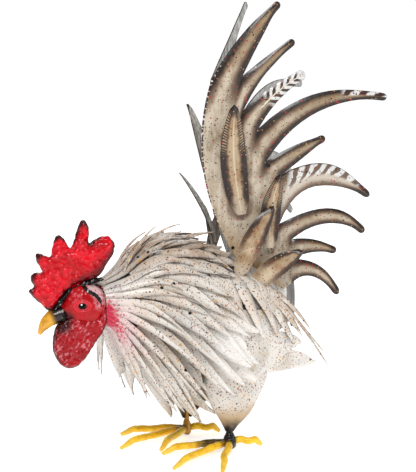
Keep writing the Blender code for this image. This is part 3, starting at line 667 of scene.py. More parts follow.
# Side 1 is the bird's left and side -1 its right.
SIDES = ((1, "left"), (-1, "right"))
for side, label in SIDES:
    folds = [saddle_fold(side, number, row) for number, row in enumerate(SADDLE_STRANDS)]
    fan = bend_strips(cut_strip(16, 4), folds, (0.04, 0.0, 0.150), sheet=0.0009)
    node = f"{label}_saddle_fan"
    settle(fan, f"{label}_saddle_strands", "speckled_cream_paint", hackle_paint, node)


# Wings: one smooth sheet low on each flank, cut with four rounded lobes behind and bowed round the
# body, where a rivet holds it. Rows are a lobe's tip, the notch below it, and the handles that bend
# its upper and its lower edge, as distance behind the legs and height.
WING_ROOTS = ((-0.010, 0.172), (-0.004, 0.086))
WING_START = (0.046, 0.166)
WING_LOBES = (
    ((0.076, 0.149), (0.060, 0.138), (0.064, 0.162), (0.068, 0.142)),
    ((0.095, 0.119), (0.079, 0.113), (0.083, 0.136), (0.088, 0.113)),
    ((0.125, 0.089), (0.048, 0.082), (0.106, 0.108), (0.096, 0.077)),
    ((0.034, 0.079), (0.010, 0.084), (0.043, 0.080), (0.020, 0.078)),
)
WING_LIFT = 0.0028


def lobe_folds(lobes, first_notch, roots, bow, tip_half, camber, put):
    """The folds of a plate whose trunk fans out from its root line into round-tipped lobes.

    put(place, standoff) turns a place on the plate, and how far it is pressed out, into space.
    """

    def one(number):
        tip, notch, upper_handle, lower_handle = lobes[number]
        before = lobes[number - 1][1] if number else first_notch
        length = (Vector(tip) - (Vector(before) + Vector(notch)) / 2).length

        def trunk_edge(line, share):
            root = Vector(roots[0]).lerp(Vector(roots[1]), line / len(lobes))
            end = Vector(lobes[line - 1][1] if line else first_notch)
            handle = (root + end) / 2 - Vector((bow * max(0.0, 1 - line / (len(lobes) - 1)), 0.0))
            return bent_edge(root, handle, end, share)

        def edges(t):
            return bent_edge(before, upper_handle, tip, t), bent_edge(notch, lower_handle, tip, t)

        def fold(along, across):
            if along <= 0:
                upper, lower = trunk_edge(number, 1 + along), trunk_edge(number + 1, 1 + along)
                wide = (lower - upper) / 2
            else:
                t = 1 - (1 - along) ** 1.8
                upper, lower = edges(t)
                slit = 0.0006 * min(1.0, along * 8)
                apart = lower - upper
                ahead, behind = edges(min(t + 0.01, 1.0)), edges(t - 0.02)
                run = (ahead[0] + ahead[1] - behind[0] - behind[1]).normalized()
                square = Vector((run.y, -run.x))
                turn_in = max(0.0, min(1.0, (t - 0.5) / 0.4))
                aim = square
                if apart.length:
                    aim = apart.normalized().lerp(square, turn_in).normalized()
                half = max(0.0, apart.length * (1 - turn_in) + apart.dot(square) * turn_in) / 2
                # The third one down is the bluntest.
                blunt = tip_half * (1.35 if number == 2 else 1.0) * min(1.0, t / 0.6)
                half = (max(0.0, half - slit) ** 3 + blunt**3) ** (1 / 3)
                cap = 1 - 1.1 * tip_half / length
                if t > cap:
                    half *= math.sqrt(max(0.0, 1 - ((t - cap) / (1 - cap)) ** 2))
                wide = aim * half
            middle = (upper + lower) / 2
            hollow = min(0.0034, camber * 2 * wide.length) * (1 - across**2)
            return put(middle + wide * across, hollow * max(0.03, min(1.0, 1 + 4 * along)))

        return fold

    return [one(number) for number in range(len(lobes))]


def on_wing(side, place, standoff):
    centre, width, height = section_at(BODY_SECTIONS, min(place.x, FLANK_END))
    rise = (place.y - centre) / (height + WING_LIFT)
    angle = side * math.acos(max(-1.0, min(1.0, rise)))
    return over_body(place.x, angle, WING_LIFT + standoff * 0.6)


def wing_coat():
    coat = cream_paint("wing_paint")
    coat.brush(coat.cloud(0.05).rise(0.45, 0.62) * 0.4, ink(212, 216, 216), "MULTIPLY")
    edge = coat.mark("edge").rise(0.93, 1.0) * coat.mark("along").rise(0.05, 0.30)
    coat.brush(edge * 0.45, ink(120, 108, 98))
    return coat.finished(coat.cloud(0.02, 3.0), depth=0.0012)


wing_paint = [wing_coat(), hackle_paint[1]]
for side, label in SIDES:
    put = partial(on_wing, side)
    outline = (WING_LOBES, WING_START, WING_ROOTS)
    folds = lobe_folds(*outline, bow=0.0, tip_half=0.0020, camber=0.06, put=put)
    wing = bend_strips(cut_strip(24, 8), folds, (0.04, 0.0, 0.150), sheet=0.0010, weld=True)
    settle(wing, f"{label}_wing_sheet", "speckled_cream_paint", wing_paint, f"{label}_wing")


# Tail: two plates that part like a V, each cut into nine sickles that are pressed hollow and
# airbrushed brown to black along their edges. The right one leans back a little.
# A hinge is the distance behind the legs and beside the middle, the spread and the lean.
LEFT_TAIL_HINGE = (-0.011, 0.006, math.radians(24), 0.0)
RIGHT_TAIL_HINGE = (0.004, 0.003, math.radians(22), math.radians(1.2))
TAIL_ROOTS = ((0.044, 0.216), (0.097, 0.184))
TAIL_START = (0.0095, 0.433)
LEFT_TALLEST_SICKLE = ((0.090, 0.522), (0.047, 0.438), (0.038, 0.489), (0.072, 0.486))
RIGHT_TALLEST_SICKLE = ((0.090, 0.518), (0.048, 0.443), (0.056, 0.489), (0.072, 0.486))
TAIL_SICKLES = (
    ((0.108, 0.478), (0.048, 0.398), (0.076, 0.464), (0.069, 0.441)),
    ((0.121, 0.440), (0.066, 0.376), (0.077, 0.429), (0.088, 0.412)),
    ((0.221, 0.410), (0.076, 0.338), (0.133, 0.441), (0.125, 0.414)),
    ((0.146, 0.364), (0.095, 0.322), (0.107, 0.360), (0.122, 0.340)),
    ((0.201, 0.293), (0.092, 0.263), (0.160, 0.357), (0.118, 0.334)),
    ((0.195, 0.250), (0.107, 0.244), (0.167, 0.303), (0.150, 0.276)),
    ((0.161, 0.228), (0.107, 0.220), (0.138, 0.249), (0.132, 0.231)),
)
LEFT_LOWEST_SICKLE = ((0.164, 0.176), (0.108, 0.192), (0.150, 0.222), (0.131, 0.212))
RIGHT_LOWEST_SICKLE = ((0.194, 0.101), (0.108, 0.190), (0.225, 0.212), (0.170, 0.187))


def on_tail_plate(side, place, standoff):
    behind, beside, spread, lean = LEFT_TAIL_HINGE if side > 0 else RIGHT_TAIL_HINGE
    root = TAIL_ROOTS[-1][1]
    along = place.x * math.cos(lean) - (place.y - root) * math.sin(lean)
    height = root + place.x * math.sin(lean) + (place.y - root) * math.cos(lean)
    back = behind + along * math.cos(spread) - standoff * math.sin(spread)
    out = beside + along * math.sin(spread) + standoff * math.cos(spread)
    return Vector((back, -side * out, height))


def flick_tail(coat, middling_radius):
    """Fine and middling drops over the tail, redder than those on the body."""
    rust_drop, umber_drop, tan_drop = ink(150, 60, 44), ink(84, 40, 30), ink(186, 140, 92)
    coat.flick(0.0031, 0.00070, 0.80, [rust_drop, umber_drop, brown_drop, tan_drop, black_drop])
    coat.flick(0.0062, middling_radius, 0.70, [red_drop, black_drop, brown_drop, red_drop])


def tail_coat():
    """Beige in the middle of a sickle, airbrushed brown to black at its edges, with white bars, and
    painted shadow round the tall loose feather.
    """
    coat = Coat("tail_paint", ink(184, 169, 149), roughness=0.36, clear_coat=0.35)
    along, across, edge = (coat.mark(name) for name in ("along", "across", "edge"))
    number = coat.mark("number")

    def sickle(count):
        """1 on the sickle with this number. The tallest has 0."""
        return abs(number - count).below(0.5)

    reach = 1.0 - (1.0 - along).at_least(0.0).at_most(1.0) ** 1.8
    mottle = coat.cloud(0.010, 3.0)
    coat.brush(coat.cloud(0.030, 3.0).rise(0.40, 0.62), ink(152, 135, 113))
    coat.brush(mottle.rise(0.50, 0.66) * 0.35, ink(126, 108, 88))
    lower = number.rise(5.2, 5.8)
    coat.brush(reach.rise(0.05, 0.60) * (0.70 - 0.45 * lower), ink(132, 114, 88))
    coat.brush(sickle(0.0) * reach.rise(-0.1, 0.3) * 0.45, ink(140, 116, 84))
    pale = sickle(5.0) * along.rise(-0.20, 0.05)
    coat.brush(pale * 0.8, ink(196, 186, 172))
    rays = coat.cloud(0.0045, 2.0, coat.moved(1.0, 1.0, 0.25)).rise(0.40, 0.60)
    coat.brush(rays * along.rise(0.30, -0.20) * 0.45, ink(212, 202, 184))

    shade = (edge + (mottle - 0.5) * 0.20).rise(-0.05, 0.95) * along.rise(-0.26, 0.06)
    shade = shade * (1.22 - 0.20 * lower) + reach.rise(0.72, 1.0) * 0.8
    shade = (shade * (1.0 - pale * (1.0 - reach.rise(0.84, 0.94)) * 0.42)).at_most(1.0)
    # Painted shadow on the left plate round the tall loose feather, in spots along its length.
    feather_shadow_spots = ((0.285, 0.021), (0.305, 0.022), (0.325, 0.022), (0.345, 0.021), (0.365, 0.018))
    for height, radius in feather_shadow_spots:
        behind = on_tail_plate(1, Vector((0.045 - (height - 0.276) * 0.11, height)), 0.0)
        shade = shade.at_least(coat.near(behind, radius, 0.013) * 0.50)
    coat.brush(shade.rise(0.04, 0.62) * 0.90, ink(106, 82, 62))
    coat.brush(shade.rise(0.42, 1.02) * 0.96, ink(26, 18, 16))

    chevron = sickle(2.0)
    slant = edge * (0.25 + 0.60 * chevron) + (coat.cloud(0.008) - 0.5) * 0.6
    bars = (reach * 8.5 - slant).wave().rise(0.38, 0.62)
    third = chevron * reach.rise(0.30, 0.42) * edge.rise(0.04, 0.14)
    fourth = sickle(3.0) * reach.rise(0.66, 0.72) * across.rise(0.10, -0.15)
    sixth = pale * reach.rise(0.02, 0.12) * across.rise(0.05, -0.35) * reach.rise(0.90, 0.84)
    barred = (third + fourth + sixth).at_most(1.0)
    dark_bar = coat.mix(pale, ink(58, 42, 36), ink(104, 86, 74))
    coat.brush(barred * 0.92, coat.mix(bars, dark_bar, ink(214, 214, 212)))
    rib = abs(across + (mottle - 0.5) * 0.2).rise(0.10, 0.03)
    quill = chevron * reach.rise(0.12, 0.30)
    coat.brush(rib * quill * 0.85, ink(230, 222, 208))
    coat.brush(chevron * reach.rise(0.86, 0.95) * 0.8, ink(206, 206, 206))
    front = sickle(0.0) * across.rise(-0.82, -0.90) * along.rise(0.25, 0.0)
    ticks = (along * 34.0 + mottle * 3.0).wave().rise(0.72, 0.9)
    coat.brush(front * 0.95, coat.mix(ticks, ink(38, 24, 20), ink(228, 220, 208)))

    coat.brush(edge.rise(0.90, 0.97) * along.rise(-0.02, 0.03) * 0.85, ink(24, 18, 17))
    foot = along.rise(-0.70, -0.94)
    coat.brush(foot * 0.75, coat.mix(rays, ink(196, 172, 136), ink(160, 120, 74)))
    flick_tail(coat, 0.00105)
    coat.flick(0.0240, 0.0021, 0.45, [black_drop, black_drop, red_drop])
    return coat.finished(coat.cloud(0.005, 3.0), depth=0.0006)


def tail_back_coat():
    """Plain streaked grey, darker at the edges and on the drooping sickle."""
    coat = Coat("tail_back_paint", ink(186, 185, 180), roughness=0.5, clear_coat=0.1)
    along = coat.mark("along")
    streak = coat.cloud(0.0030, 3.0, coat.moved(1.0, 1.0, 0.10))
    coat.brush(streak.rise(0.38, 0.60), ink(138, 136, 132))
    coat.brush(coat.mark("number").rise(7.2, 7.8) * along.rise(0.0, 0.3) * 0.6, ink(84, 82, 84))
    coat.brush(coat.mark("edge").rise(0.80, 1.0) * along.rise(-0.1, 0.1) * 0.5, ink(84, 82, 80))
    return coat.finished(streak, depth=0.0003)


tail_paint = [tail_coat(), tail_back_coat()]
for side, label in SIDES:
    tallest = LEFT_TALLEST_SICKLE if side > 0 else RIGHT_TALLEST_SICKLE
    lowest = LEFT_LOWEST_SICKLE if side > 0 else RIGHT_LOWEST_SICKLE
    sickles = (tallest, *TAIL_SICKLES, lowest)
    put = partial(on_tail_plate, side)
    outline = (sickles, TAIL_START, TAIL_ROOTS)
    folds = lobe_folds(*outline, bow=0.052, tip_half=0.0044, camber=0.14, put=put)
    plate = bend_strips(cut_strip(36, 10), folds, (0.08, 0.0, 0.35), sheet=0.0011, weld=True)
    settle(plate, f"{label}_tail_sickles", "shaded_cream_paint", tail_paint, f"{label}_tail_plate")


# Loose tail feathers: leaf shapes of sheet with a raised rib, tacked to the outer side of each
# plate so that their tips stand off it. Some have their dark edges nicked like a comb. Rows are
# base and tip on the plate, width, bow, and how far the base and the tip stand off.
TAIL_FEATHERS = {
    "middle": ((0.078, 0.236), (0.088, 0.323), 0.024, 0.004, 0.0085, 0.016),
    "front": ((0.036, 0.207), (0.080, 0.287), 0.025, 0.003, 0.0260, 0.019),
    "lower": ((0.053, 0.189), (0.115, 0.233), 0.026, 0.003, 0.0175, 0.020),
}
LEFT_TAIL_FEATHERS = {"tall": ((0.045, 0.276), (0.031, 0.407), 0.031, 0.004, 0.0042, 0.029)}
RIGHT_TAIL_FEATHERS = {
    "tall": ((0.035, 0.252), (0.020, 0.401), 0.026, 0.004, 0.0050, 0.039),
    "thin": ((0.028, 0.236), (0.013, 0.319), 0.009, 0.002, 0.0085, 0.048),
    "short": ((0.030, 0.226), (0.028, 0.280), 0.011, 0.001, 0.0140, 0.023),
}


def feather_fold(side, row):
    base, tip, width, bow, base_standoff, tip_standoff = row
    base, tip = Vector(base), Vector(tip)
    aim = (tip - base).normalized()
    across_aim = Vector((-aim.y, aim.x))

    def fold(along, across):
        t = (along + 1) / 2
        place = base.lerp(tip, t) + across_aim * bow * math.sin(math.pi * t)
        swell = 0.62 + 0.38 * math.sin(math.pi * min(1.0, t / 0.92))
        half = width / 2 * swell * math.sqrt(max(0.0, 1 - t**7)) * min(1.0, 0.55 + 4 * t)
        camber = 0.10 * width * (1 - across**2) + 0.0006 * max(0.0, 1 - abs(across) * 5)
        standoff = base_standoff + (tip_standoff - base_standoff) * t**2 + camber
        return on_tail_plate(side, place + across_aim * half * across, standoff)

    return fold


def plume_coat(name, combed):
    """Beige along the rib, with dark edges. Those of a combed feather are nicked like teeth."""
    ground = ink(172, 150, 120) if combed else ink(190, 170, 142)
    coat = Coat(name, ground, roughness=0.36, clear_coat=0.35)
    along, edge = coat.mark("along"), coat.mark("edge")
    mottle = coat.cloud(0.008, 3.0)
    coat.brush(coat.cloud(0.02).rise(0.35, 0.65), ink(148, 120, 88))
    coat.brush(along.rise(-0.3, 0.7) * (0.50 - 0.50 * combed), ink(122, 94, 64))
    coat.brush(along.rise(-0.50, -0.95) * 0.8, ink(188, 174, 154))
    shade = (edge + (mottle - 0.5) * 0.4).rise(0.22, 0.82) + along.rise(0.66, 1.0)
    shade = (shade * along.rise(-1.0, -0.6 if combed else 0.8)).at_most(1.0)
    coat.brush(shade.rise(0.0, 0.5) * 0.92, ink(78, 52, 36))
    coat.brush(shade.rise(0.40, 0.85) * 0.97, ink(22, 15, 14))
    teeth = (along * 21.0 - edge * 2.4 + mottle).wave().rise(0.40, 0.66)
    toothed = edge.rise(0.46, 0.70) * edge.rise(0.97, 0.90) * along.rise(0.05, 0.35)
    coat.brush(toothed * teeth * along.rise(0.90, 0.80) * (0.70 * combed), ink(184, 158, 126))
    wires = (along * 46.0 - edge * 6.0 + mottle * 5.0).wave().rise(0.55, 0.85)
    coat.brush(wires * mottle.rise(0.40, 0.56) * (0.45 - 0.25 * combed), ink(104, 74, 46))
    coat.brush(along.rise(0.86, 0.94), ink(24, 18, 17))
    rib = edge.rise(0.10, 0.03) * along.rise(0.85, 0.70)
    coat.brush(rib * (0.1 + 0.4 * combed), ink(216, 202, 178))
    flick_tail(coat, 0.00100)
    return coat.finished(coat.cloud(0.004, 3.0), depth=0.0005)


plain_plume_paint = plume_coat("plain_plume_paint", 0.0)
combed_plume_paint = plume_coat("combed_plume_paint", 1.0)
for side, label in SIDES:
    feathers = {**TAIL_FEATHERS, **(LEFT_TAIL_FEATHERS if side > 0 else RIGHT_TAIL_FEATHERS)}
    for kind, row in feathers.items():
        folds = [feather_fold(side, row)]
        plume = bend_strips(cut_strip(28, 8), folds, (0.08, 0.0, 0.30), sheet=0.0010)
        front = plain_plume_paint if kind in ("front", "lower") else combed_plume_paint
        node = f"{label}_{kind}_tail_feather"
        settle(plume, f"{label}_{kind}_plume", "shaded_cream_paint", [front, tail_paint[1]], node)


# Head: a skull pressed in two halves of sheet and hammered all over, welded to the neck and turned
# a little to the bird's right. What is on the head is measured forward, to the left and up from the
# middle of the skull, in millimetres.
HEAD_CENTRE = Vector((-0.171, 0.0, 0.188))
HEAD_TURN = math.radians(-23)
HEAD_PLACE = Matrix.Translation(HEAD_CENTRE) @ Matrix.Rotation(HEAD_TURN, 4, "Z")
SKULL_SECTIONS = (
    (-0.0275, -0.009, 0.000, 0.000),
    (-0.0210, -0.005, 0.012, 0.015),
    (-0.0120, 0.000, 0.017, 0.022),
    (0.0000, 0.000, 0.019, 0.025),
    (0.0120, -0.002, 0.017, 0.022),
    (0.0210, -0.002, 0.012, 0.015),
    (0.0265, -0.002, 0.000, 0.000),
)


def on_head(forward, left, up):
    """A place so many millimetres forward, to the left and up from the middle of the skull."""
    return HEAD_PLACE @ Vector((-forward / 1000, -left / 1000, up / 1000))


def hammer(piece, size, depth):
    """Dents a surface at random along its normals, as a planishing hammer does."""
    normals = [vertex.normal.copy() for vertex in piece.data.vertices]
    for vertex, normal in zip(piece.data.vertices, normals):
        dent = noise.noise(vertex.co / size) + 0.5 * noise.noise(vertex.co / size * 2.3)
        vertex.co += normal * depth * dent
    piece.data.update()


# The slant of the streaks of painted sheen on the red enamel and of the painted glints on the
# welds.
STREAK_SLANT = (0.0, -0.9, 0.0)


def red_coat(name, sheen_amount, dark):
    """Glossy red enamel on planished metal, with painted shade in the hollows of its dents, a
    painted pale pink sheen on their tops in slanting streaks, and dark patches at random.
    """
    coat = Coat(name, ink(218, 2, 34), roughness=0.17, gloss=0.26)
    cells = {"Vector": coat.place, "Scale": 1 / 0.0044}
    dents = coat.node("TexVoronoi", {"feature": "SMOOTH_F1"}, cells, "Distance") * -1.0
    coat.brush(coat.cloud(0.018).rise(0.38, 0.62), ink(188, 1, 24))
    # Painted shade: darker red in the hollows between the dents.
    coat.brush(dents.rise(-0.36, -0.58) * 0.30, ink(112, 0, 16))
    # Painted sheen: pale pink in slanting streaks on the tops of the dents.
    sheen_streaks = coat.cloud(0.008, 3.0, coat.turned(STREAK_SLANT, (1.5, 1.0, 0.7)))
    milky = sheen_streaks.rise(0.52, 0.66) * (dents + coat.cloud(0.003)).rise(-0.05, 0.20)
    coat.brush(milky * sheen_amount, ink(216, 104, 116))
    coat.brush(coat.cloud(0.010, 3.0).rise(0.60, 0.72) * dark, ink(40, 8, 12))
    return coat, dents


skull_coat, skull_dents = red_coat("skull_paint", 0.15, 0.30)
skull_coat.brush(0.65, ink(150, 0, 12))
# Painted highlight: pale pink flecks on the brow.
brow_highlight_flecks = skull_coat.cloud(0.005, 3.0).rise(0.46, 0.60)
brow = skull_coat.near(on_head(12, 12, 10), 0.012, 0.004) * brow_highlight_flecks
skull_coat.brush(brow * 0.55, ink(216, 110, 118))
bare = skull_coat.near(on_head(-18, 10, 20), 0.018, 0.012)
bare *= skull_coat.cloud(0.005).rise(0.30, 0.46)
skull_coat.brush(bare * 0.85, ink(222, 188, 188))
ear = skull_coat.near(on_head(-17, 13, 3), 0.012, 0.005)
ear *= skull_coat.cloud(0.004).rise(0.42, 0.54)
skull_coat.brush(ear * 0.6, ink(206, 160, 166))
cheek = skull_coat.near(on_head(20, 8, -14), 0.014, 0.004)
skull_coat.brush(cheek * 0.9, ink(34, 10, 14))
for side, label in SIDES:
    eye_socket = skull_coat.near(on_head(4, side * 16, 0), 0.0075, 0.0050)
    skull_coat.brush(eye_socket * 0.8, ink(92, 4, 18))
skull_paint = skull_coat.finished(skull_dents, depth=0.0012)
skull = turned_egg(SKULL_SECTIONS, around=72, along=56)
skull.data.transform(HEAD_PLACE)
hammer(skull, size=0.0055, depth=0.0007)
settle(skull, "hammered_skull", "glossy_red_paint", [skull_paint], "head")


# Comb and wattles: thick plates with pillowed faces, hammered all over. The comb stands on a weld
# bead along the top of the skull, and the two wattles hang side by side from its cheeks.
COMB_OUTLINE = (
    (-17, 30), (0, 23), (15, 17), (24, 8), (33, -4), (40, -7), (52, 4), (62, 14), (61, 18),
    (57, 21), (60, 30), (58, 35), (53, 37), (47, 38), (52, 47), (54, 57), (50, 59), (43, 56),
    (37, 55), (35, 66), (32, 76), (27, 79), (22, 74), (15, 64), (10, 75), (4, 91), (0, 95),
    (-4, 92), (-7, 80), (-6, 69), (-12, 72), (-22, 76), (-30, 75), (-35, 68), (-35, 58),
    (-27, 44),
)
WATTLE_FRONT = (
    (14, -14), (25, -19), (32, -29), (35, -43), (34.5, -56), (30, -67), (21, -73), (11, -72),
    (2, -65), (-5, -56), (-10, -48),
)
LEFT_WATTLE = WATTLE_FRONT + (
    (-16, -39), (-22, -30), (-25, -22), (-25.5, -14), (-24, -4), (-19, 1), (-15, -3), (-14, -16),
)
RIGHT_WATTLE = WATTLE_FRONT + ((-16, -37), (-17, -27), (-12, -18))


def rounded_outline(corners, steps):
    """A smooth closed outline through the corners."""
    count = len(corners)
    outline = []
    for i in range(count):
        before, start, end, after = (Vector(corners[(i + k) % count]) for k in (-1, 0, 1, 2))
        for step in range(steps):
            t = step / steps
            pull = (end - before) / 2 * (t**3 - 2 * t**2 + t) + (after - start) / 2 * (t**3 - t**2)
            outline.append(start * (2 * t**3 - 3 * t**2 + 1) + end * (3 * t**2 - 2 * t**3) + pull)
    return outline


def pillow(corners, half_thickness, rim, spacing, offset, tips=()):
    """A plate with the outline, swelling from its rim to the half thickness on both faces.

    Its points carry how far they lie from the rim, and how near to the tips that are given.
    """
    outline = rounded_outline(corners, 4)
    count = len(outline)
    lows = [min(point[axis] for point in outline) for axis in (0, 1)]
    highs = [max(point[axis] for point in outline) for axis in (0, 1)]

    def rim_gap(point):
        nearest = 1e9
        crossings = 0
        for i, start in enumerate(outline):
            end = outline[(i + 1) % count]
            run = end - start
            t = max(0.0, min(1.0, (point - start).dot(run) / max(run.length_squared, 1e-12)))
            nearest = min(nearest, (start + run * t - point).length)
            if (start.y > point.y) != (end.y > point.y):
                crossings += point.x < start.x + (point.y - start.y) / (end.y - start.y) * run.x
        return nearest if crossings % 2 else -nearest

    points = list(outline)
    gaps = [0.0] * count
    rows = int((highs[1] - lows[1]) / spacing) + 1
    columns = int((highs[0] - lows[0]) / spacing) + 1
    for row in range(rows):
        for column in range(columns):
            forward = lows[0] + (column + 0.5 * (row % 2)) * spacing
            point = Vector((forward, lows[1] + row * spacing))
            gap = rim_gap(point)
            if gap > spacing * 0.45:
                points.append(point)
                gaps.append(gap)
    sides = [(i, (i + 1) % count) for i in range(count)]
    found = geometry.delaunay_2d_cdt(points, sides, [], 1, 1e-5)
    flat, faces, origins = found[0], found[2], found[3]
    gap_of = [gaps[origin[0]] if origin else 0.0 for origin in origins]
    form = bmesh.new()
    rim_mark = form.verts.layers.float.new("rim")
    tip_mark = form.verts.layers.float.new("tip")
    near_side, far_side = [], []
    for point, gap in zip(flat, gap_of):
        tip = max([0.0] + [1 - (point - Vector(place)).length / size for *place, size in tips])
        swell = half_thickness * math.sqrt(max(0.0, 1 - (1 - min(1.0, gap / rim)) ** 2))
        near_side.append(form.verts.new(on_head(point.x, offset + swell, point.y)))
        other = near_side[-1]
        if gap > 1e-6:
            other = form.verts.new(on_head(point.x, offset - swell, point.y))
        far_side.append(other)
        for vertex in (near_side[-1], other):
            vertex[rim_mark] = gap
            vertex[tip_mark] = tip
    for face in faces:
        form.faces.new([near_side[i] for i in face])
        if any(near_side[i] is not far_side[i] for i in face):
            form.faces.new([far_side[i] for i in reversed(face)])
    bmesh.ops.recalc_face_normals(form, faces=form.faces)
    mesh = bpy.data.meshes.new("plate")
    form.to_mesh(mesh)
    form.free()
    plate = bpy.data.objects.new("plate", mesh)
    bpy.context.scene.collection.objects.link(plate)
    mesh.shade_smooth()
    mesh.update()
    return plate


comb_coat, comb_dents = red_coat("comb_paint", 0.10, 0.0)
blotch, tip_near = comb_coat.cloud(0.014, 3.0), comb_coat.mark("tip")
rim_dark = comb_coat.mark("rim").rise(3.4, 0.4) * (blotch + tip_near).rise(0.44, 0.56)
tip_dark = (tip_near + (blotch - 0.5) * 0.5).rise(0.18, 0.70) * 0.88
comb_dark = (rim_dark + tip_dark).at_most(1.0)
comb_coat.brush(comb_dark * 0.92, ink(36, 9, 14))
glint = (comb_dents + 1.0).rise(0.70, 0.90) * comb_coat.cloud(0.012, 2.0).rise(0.44, 0.58)
comb_coat.brush(glint * 0.42 * (1.0 - comb_dark), ink(240, 112, 128))
comb_paint = comb_coat.finished(comb_dents, depth=0.0024)

wattle_coat, wattle_dents = red_coat("wattle_paint", 0.25, 0.30)
wattle_coat.brush(0.66, ink(118, 0, 18))
sheen = wattle_coat.cloud(0.0036, 2.0, wattle_coat.turned(STREAK_SLANT, (1.4, 1.0, 0.8)))
sheen = sheen.rise(0.50, 0.62) * wattle_coat.cloud(0.015).rise(0.42, 0.54)
wattle_coat.brush(sheen * 0.62, ink(214, 130, 138))
rim_dark = wattle_coat.mark("rim").rise(3.4, 0.8) * wattle_coat.cloud(0.014).rise(0.34, 0.52)
# Painted shadow under the beak, at the top front of the wattle.
beak_shadow_on_wattle = wattle_coat.near(on_head(26, 8, -22), 0.016, 0.006)
wattle_coat.brush((rim_dark + beak_shadow_on_wattle).at_most(1.0) * 0.9, ink(34, 8, 14))
wattle_paint = wattle_coat.finished(wattle_dents, depth=0.0020)

# Black is brushed on the comb's tips and along its foot: forward, up and how far it reaches.
COMB_DARK_TIPS = (
    (0, 95, 13), (29, 79, 11), (54, 59, 13), (60, 33, 10), (62, 14, 9), (-8, 69, 7), (-37, 70, 8),
    (-36, 60, 9), (-33, 50, 17), (-27, 42, 19), (-20, 34, 19), (-11, 27, 18), (0, 23, 15),
    (10, 19, 12), (20, 12, 11), (36, -6, 11),
)
comb_build = {"half_thickness": 6.2, "rim": 11.0, "spacing": 1.8, "offset": 0.0}
comb = pillow(COMB_OUTLINE, **comb_build, tips=COMB_DARK_TIPS)
hammer(comb, size=0.0042, depth=0.0010)
settle(comb, "hammered_comb", "glossy_red_paint", [comb_paint], "comb")
for side, label in SIDES:
    outline = LEFT_WATTLE if side > 0 else RIGHT_WATTLE
    wattle = pillow(outline, half_thickness=5.0, rim=9.0, spacing=1.8, offset=side * 7.8)
    hammer(wattle, size=0.0050, depth=0.0009)
    settle(wattle, f"{label}_wattle_plate", "glossy_red_paint", [wattle_paint], f"{label}_wattle")


# Eyes: glossy black enamelled balls let into the skull. Round each, two soft ridges are beaten up
# out of the skull into an almond eyelid.
EYE_RADIUS = 0.0050


def bent_rod(points, radii, sides, loop=False):
    """A rod of changing radius through the points."""
    curve = bpy.data.curves.new("rod", "CURVE")
    curve.dimensions = "3D"
    curve.bevel_depth = 1.0
    curve.bevel_resolution = sides // 4
    curve.use_fill_caps = True
    spline = curve.splines.new("POLY")
    spline.points.add(len(points) - 1)
    for control, point, radius in zip(spline.points, points, radii):
        control.co = (*point, 1.0)
        control.radius = radius
    spline.use_cyclic_u = loop
    rod = bpy.data.objects.new("rod", curve)
    bpy.context.scene.collection.objects.link(rod)
    alone(rod)
    bpy.ops.object.convert(target="MESH")
    rod = bpy.context.object
    close_up(rod, 0.00001)
    bpy.ops.object.shade_smooth()
    return rod


def on_skull(forward, side, up, sunk=0.0):
    """A place on the left or right of the skull, sunk so many millimetres under its surface."""
    centre, wide, high = section_at(SKULL_SECTIONS, -forward / 1000)
    out = wide * math.sqrt(max(0.0, 1 - ((up / 1000 - centre) / high) ** 2)) * 1000
    return on_head(forward, side * (out - sunk), up)


eye_coat = Coat("eye_enamel", ink(6, 4, 4), roughness=0.08, gloss=0.12)
eye_coat.brush(eye_coat.cloud(0.002).rise(0.6, 0.9) * 0.2, ink(34, 18, 14))
for side, label in SIDES:
    spark = eye_coat.near(on_head(5.5, side * 20.2, 2.0), 0.0013, 0.0007)
    eye_coat.brush(spark * 0.9, ink(240, 240, 240))
eye_paint = eye_coat.finished()
lid_coat, lid_dents = red_coat("eyelid_paint", 0.5, 0.1)
lid_coat.brush(0.40, ink(206, 70, 80))
lid_paint = lid_coat.finished(lid_dents, depth=0.0002)
for side, label in SIDES:
    bpy.ops.object.select_all(action="DESELECT")
    bpy.ops.mesh.primitive_uv_sphere_add(segments=32, ring_count=20, radius=EYE_RADIUS)
    ball = bpy.context.object
    ball.data.transform(Matrix.Translation(on_head(4, side * 15.6, 0)))
    alone(ball)
    bpy.ops.object.shade_smooth()
    settle(ball, f"{label}_eye_ball", "glossy_black_paint", [eye_paint], f"{label}_eye")
    for kind, width, height, thick in (("inner", 6.4, 4.5, 1.5), ("outer", 9.2, 6.3, 1.7)):
        ridge, radii = [], []
        for step in range(48):
            turn = 2 * math.pi * step / 48
            up = height * math.sin(turn) * (1 - 0.25 * abs(math.cos(turn)) ** 3)
            ridge.append(on_skull(4 + width * math.cos(turn), side, up, 0.1))
            radii.append(thick / 1000 * (0.75 + 0.25 * math.sin(turn)))
        lid = bent_rod(ridge, radii, sides=8, loop=True)
        settle(lid, f"{label}_{kind}_eyelid", "glossy_red_paint", [lid_paint])


# Beak: a hooked cone of sheet, drawn to a point and painted ochre. Its root is lumpy with the black
# weld that holds it to the face.
BEAK_PATH = ((18, -10), (31, -13), (40, -18), (47, -26), (51, -34))
BEAK_RADII = (9.5, 9.5, 8.0, 5.2, 1.8)
BEAK_STEPS = 24
stations = range(len(BEAK_PATH))
beak_points, beak_radii = [], []
for step in range(BEAK_STEPS + 1):
    at = step / BEAK_STEPS * stations[-1]
    forward, up = (through_stations(stations, column, at) for column in zip(*BEAK_PATH))
    beak_points.append(on_head(forward, 0, up))
    beak_radii.append(through_stations(stations, BEAK_RADII, at) / 1000)
beak = bent_rod(beak_points, beak_radii, sides=32)
hammer(beak, size=0.006, depth=0.0003)
for vertex in beak.data.vertices:
    lumpy = max(0.0, 1 - (vertex.co - on_head(24, 0, -11)).length / 0.018)
    vertex.co += vertex.normal * lumpy * 0.0022 * noise.noise(vertex.co / 0.0035)
beak_coat = Coat("beak_paint", ink(220, 164, 50), roughness=0.22, gloss=0.5)
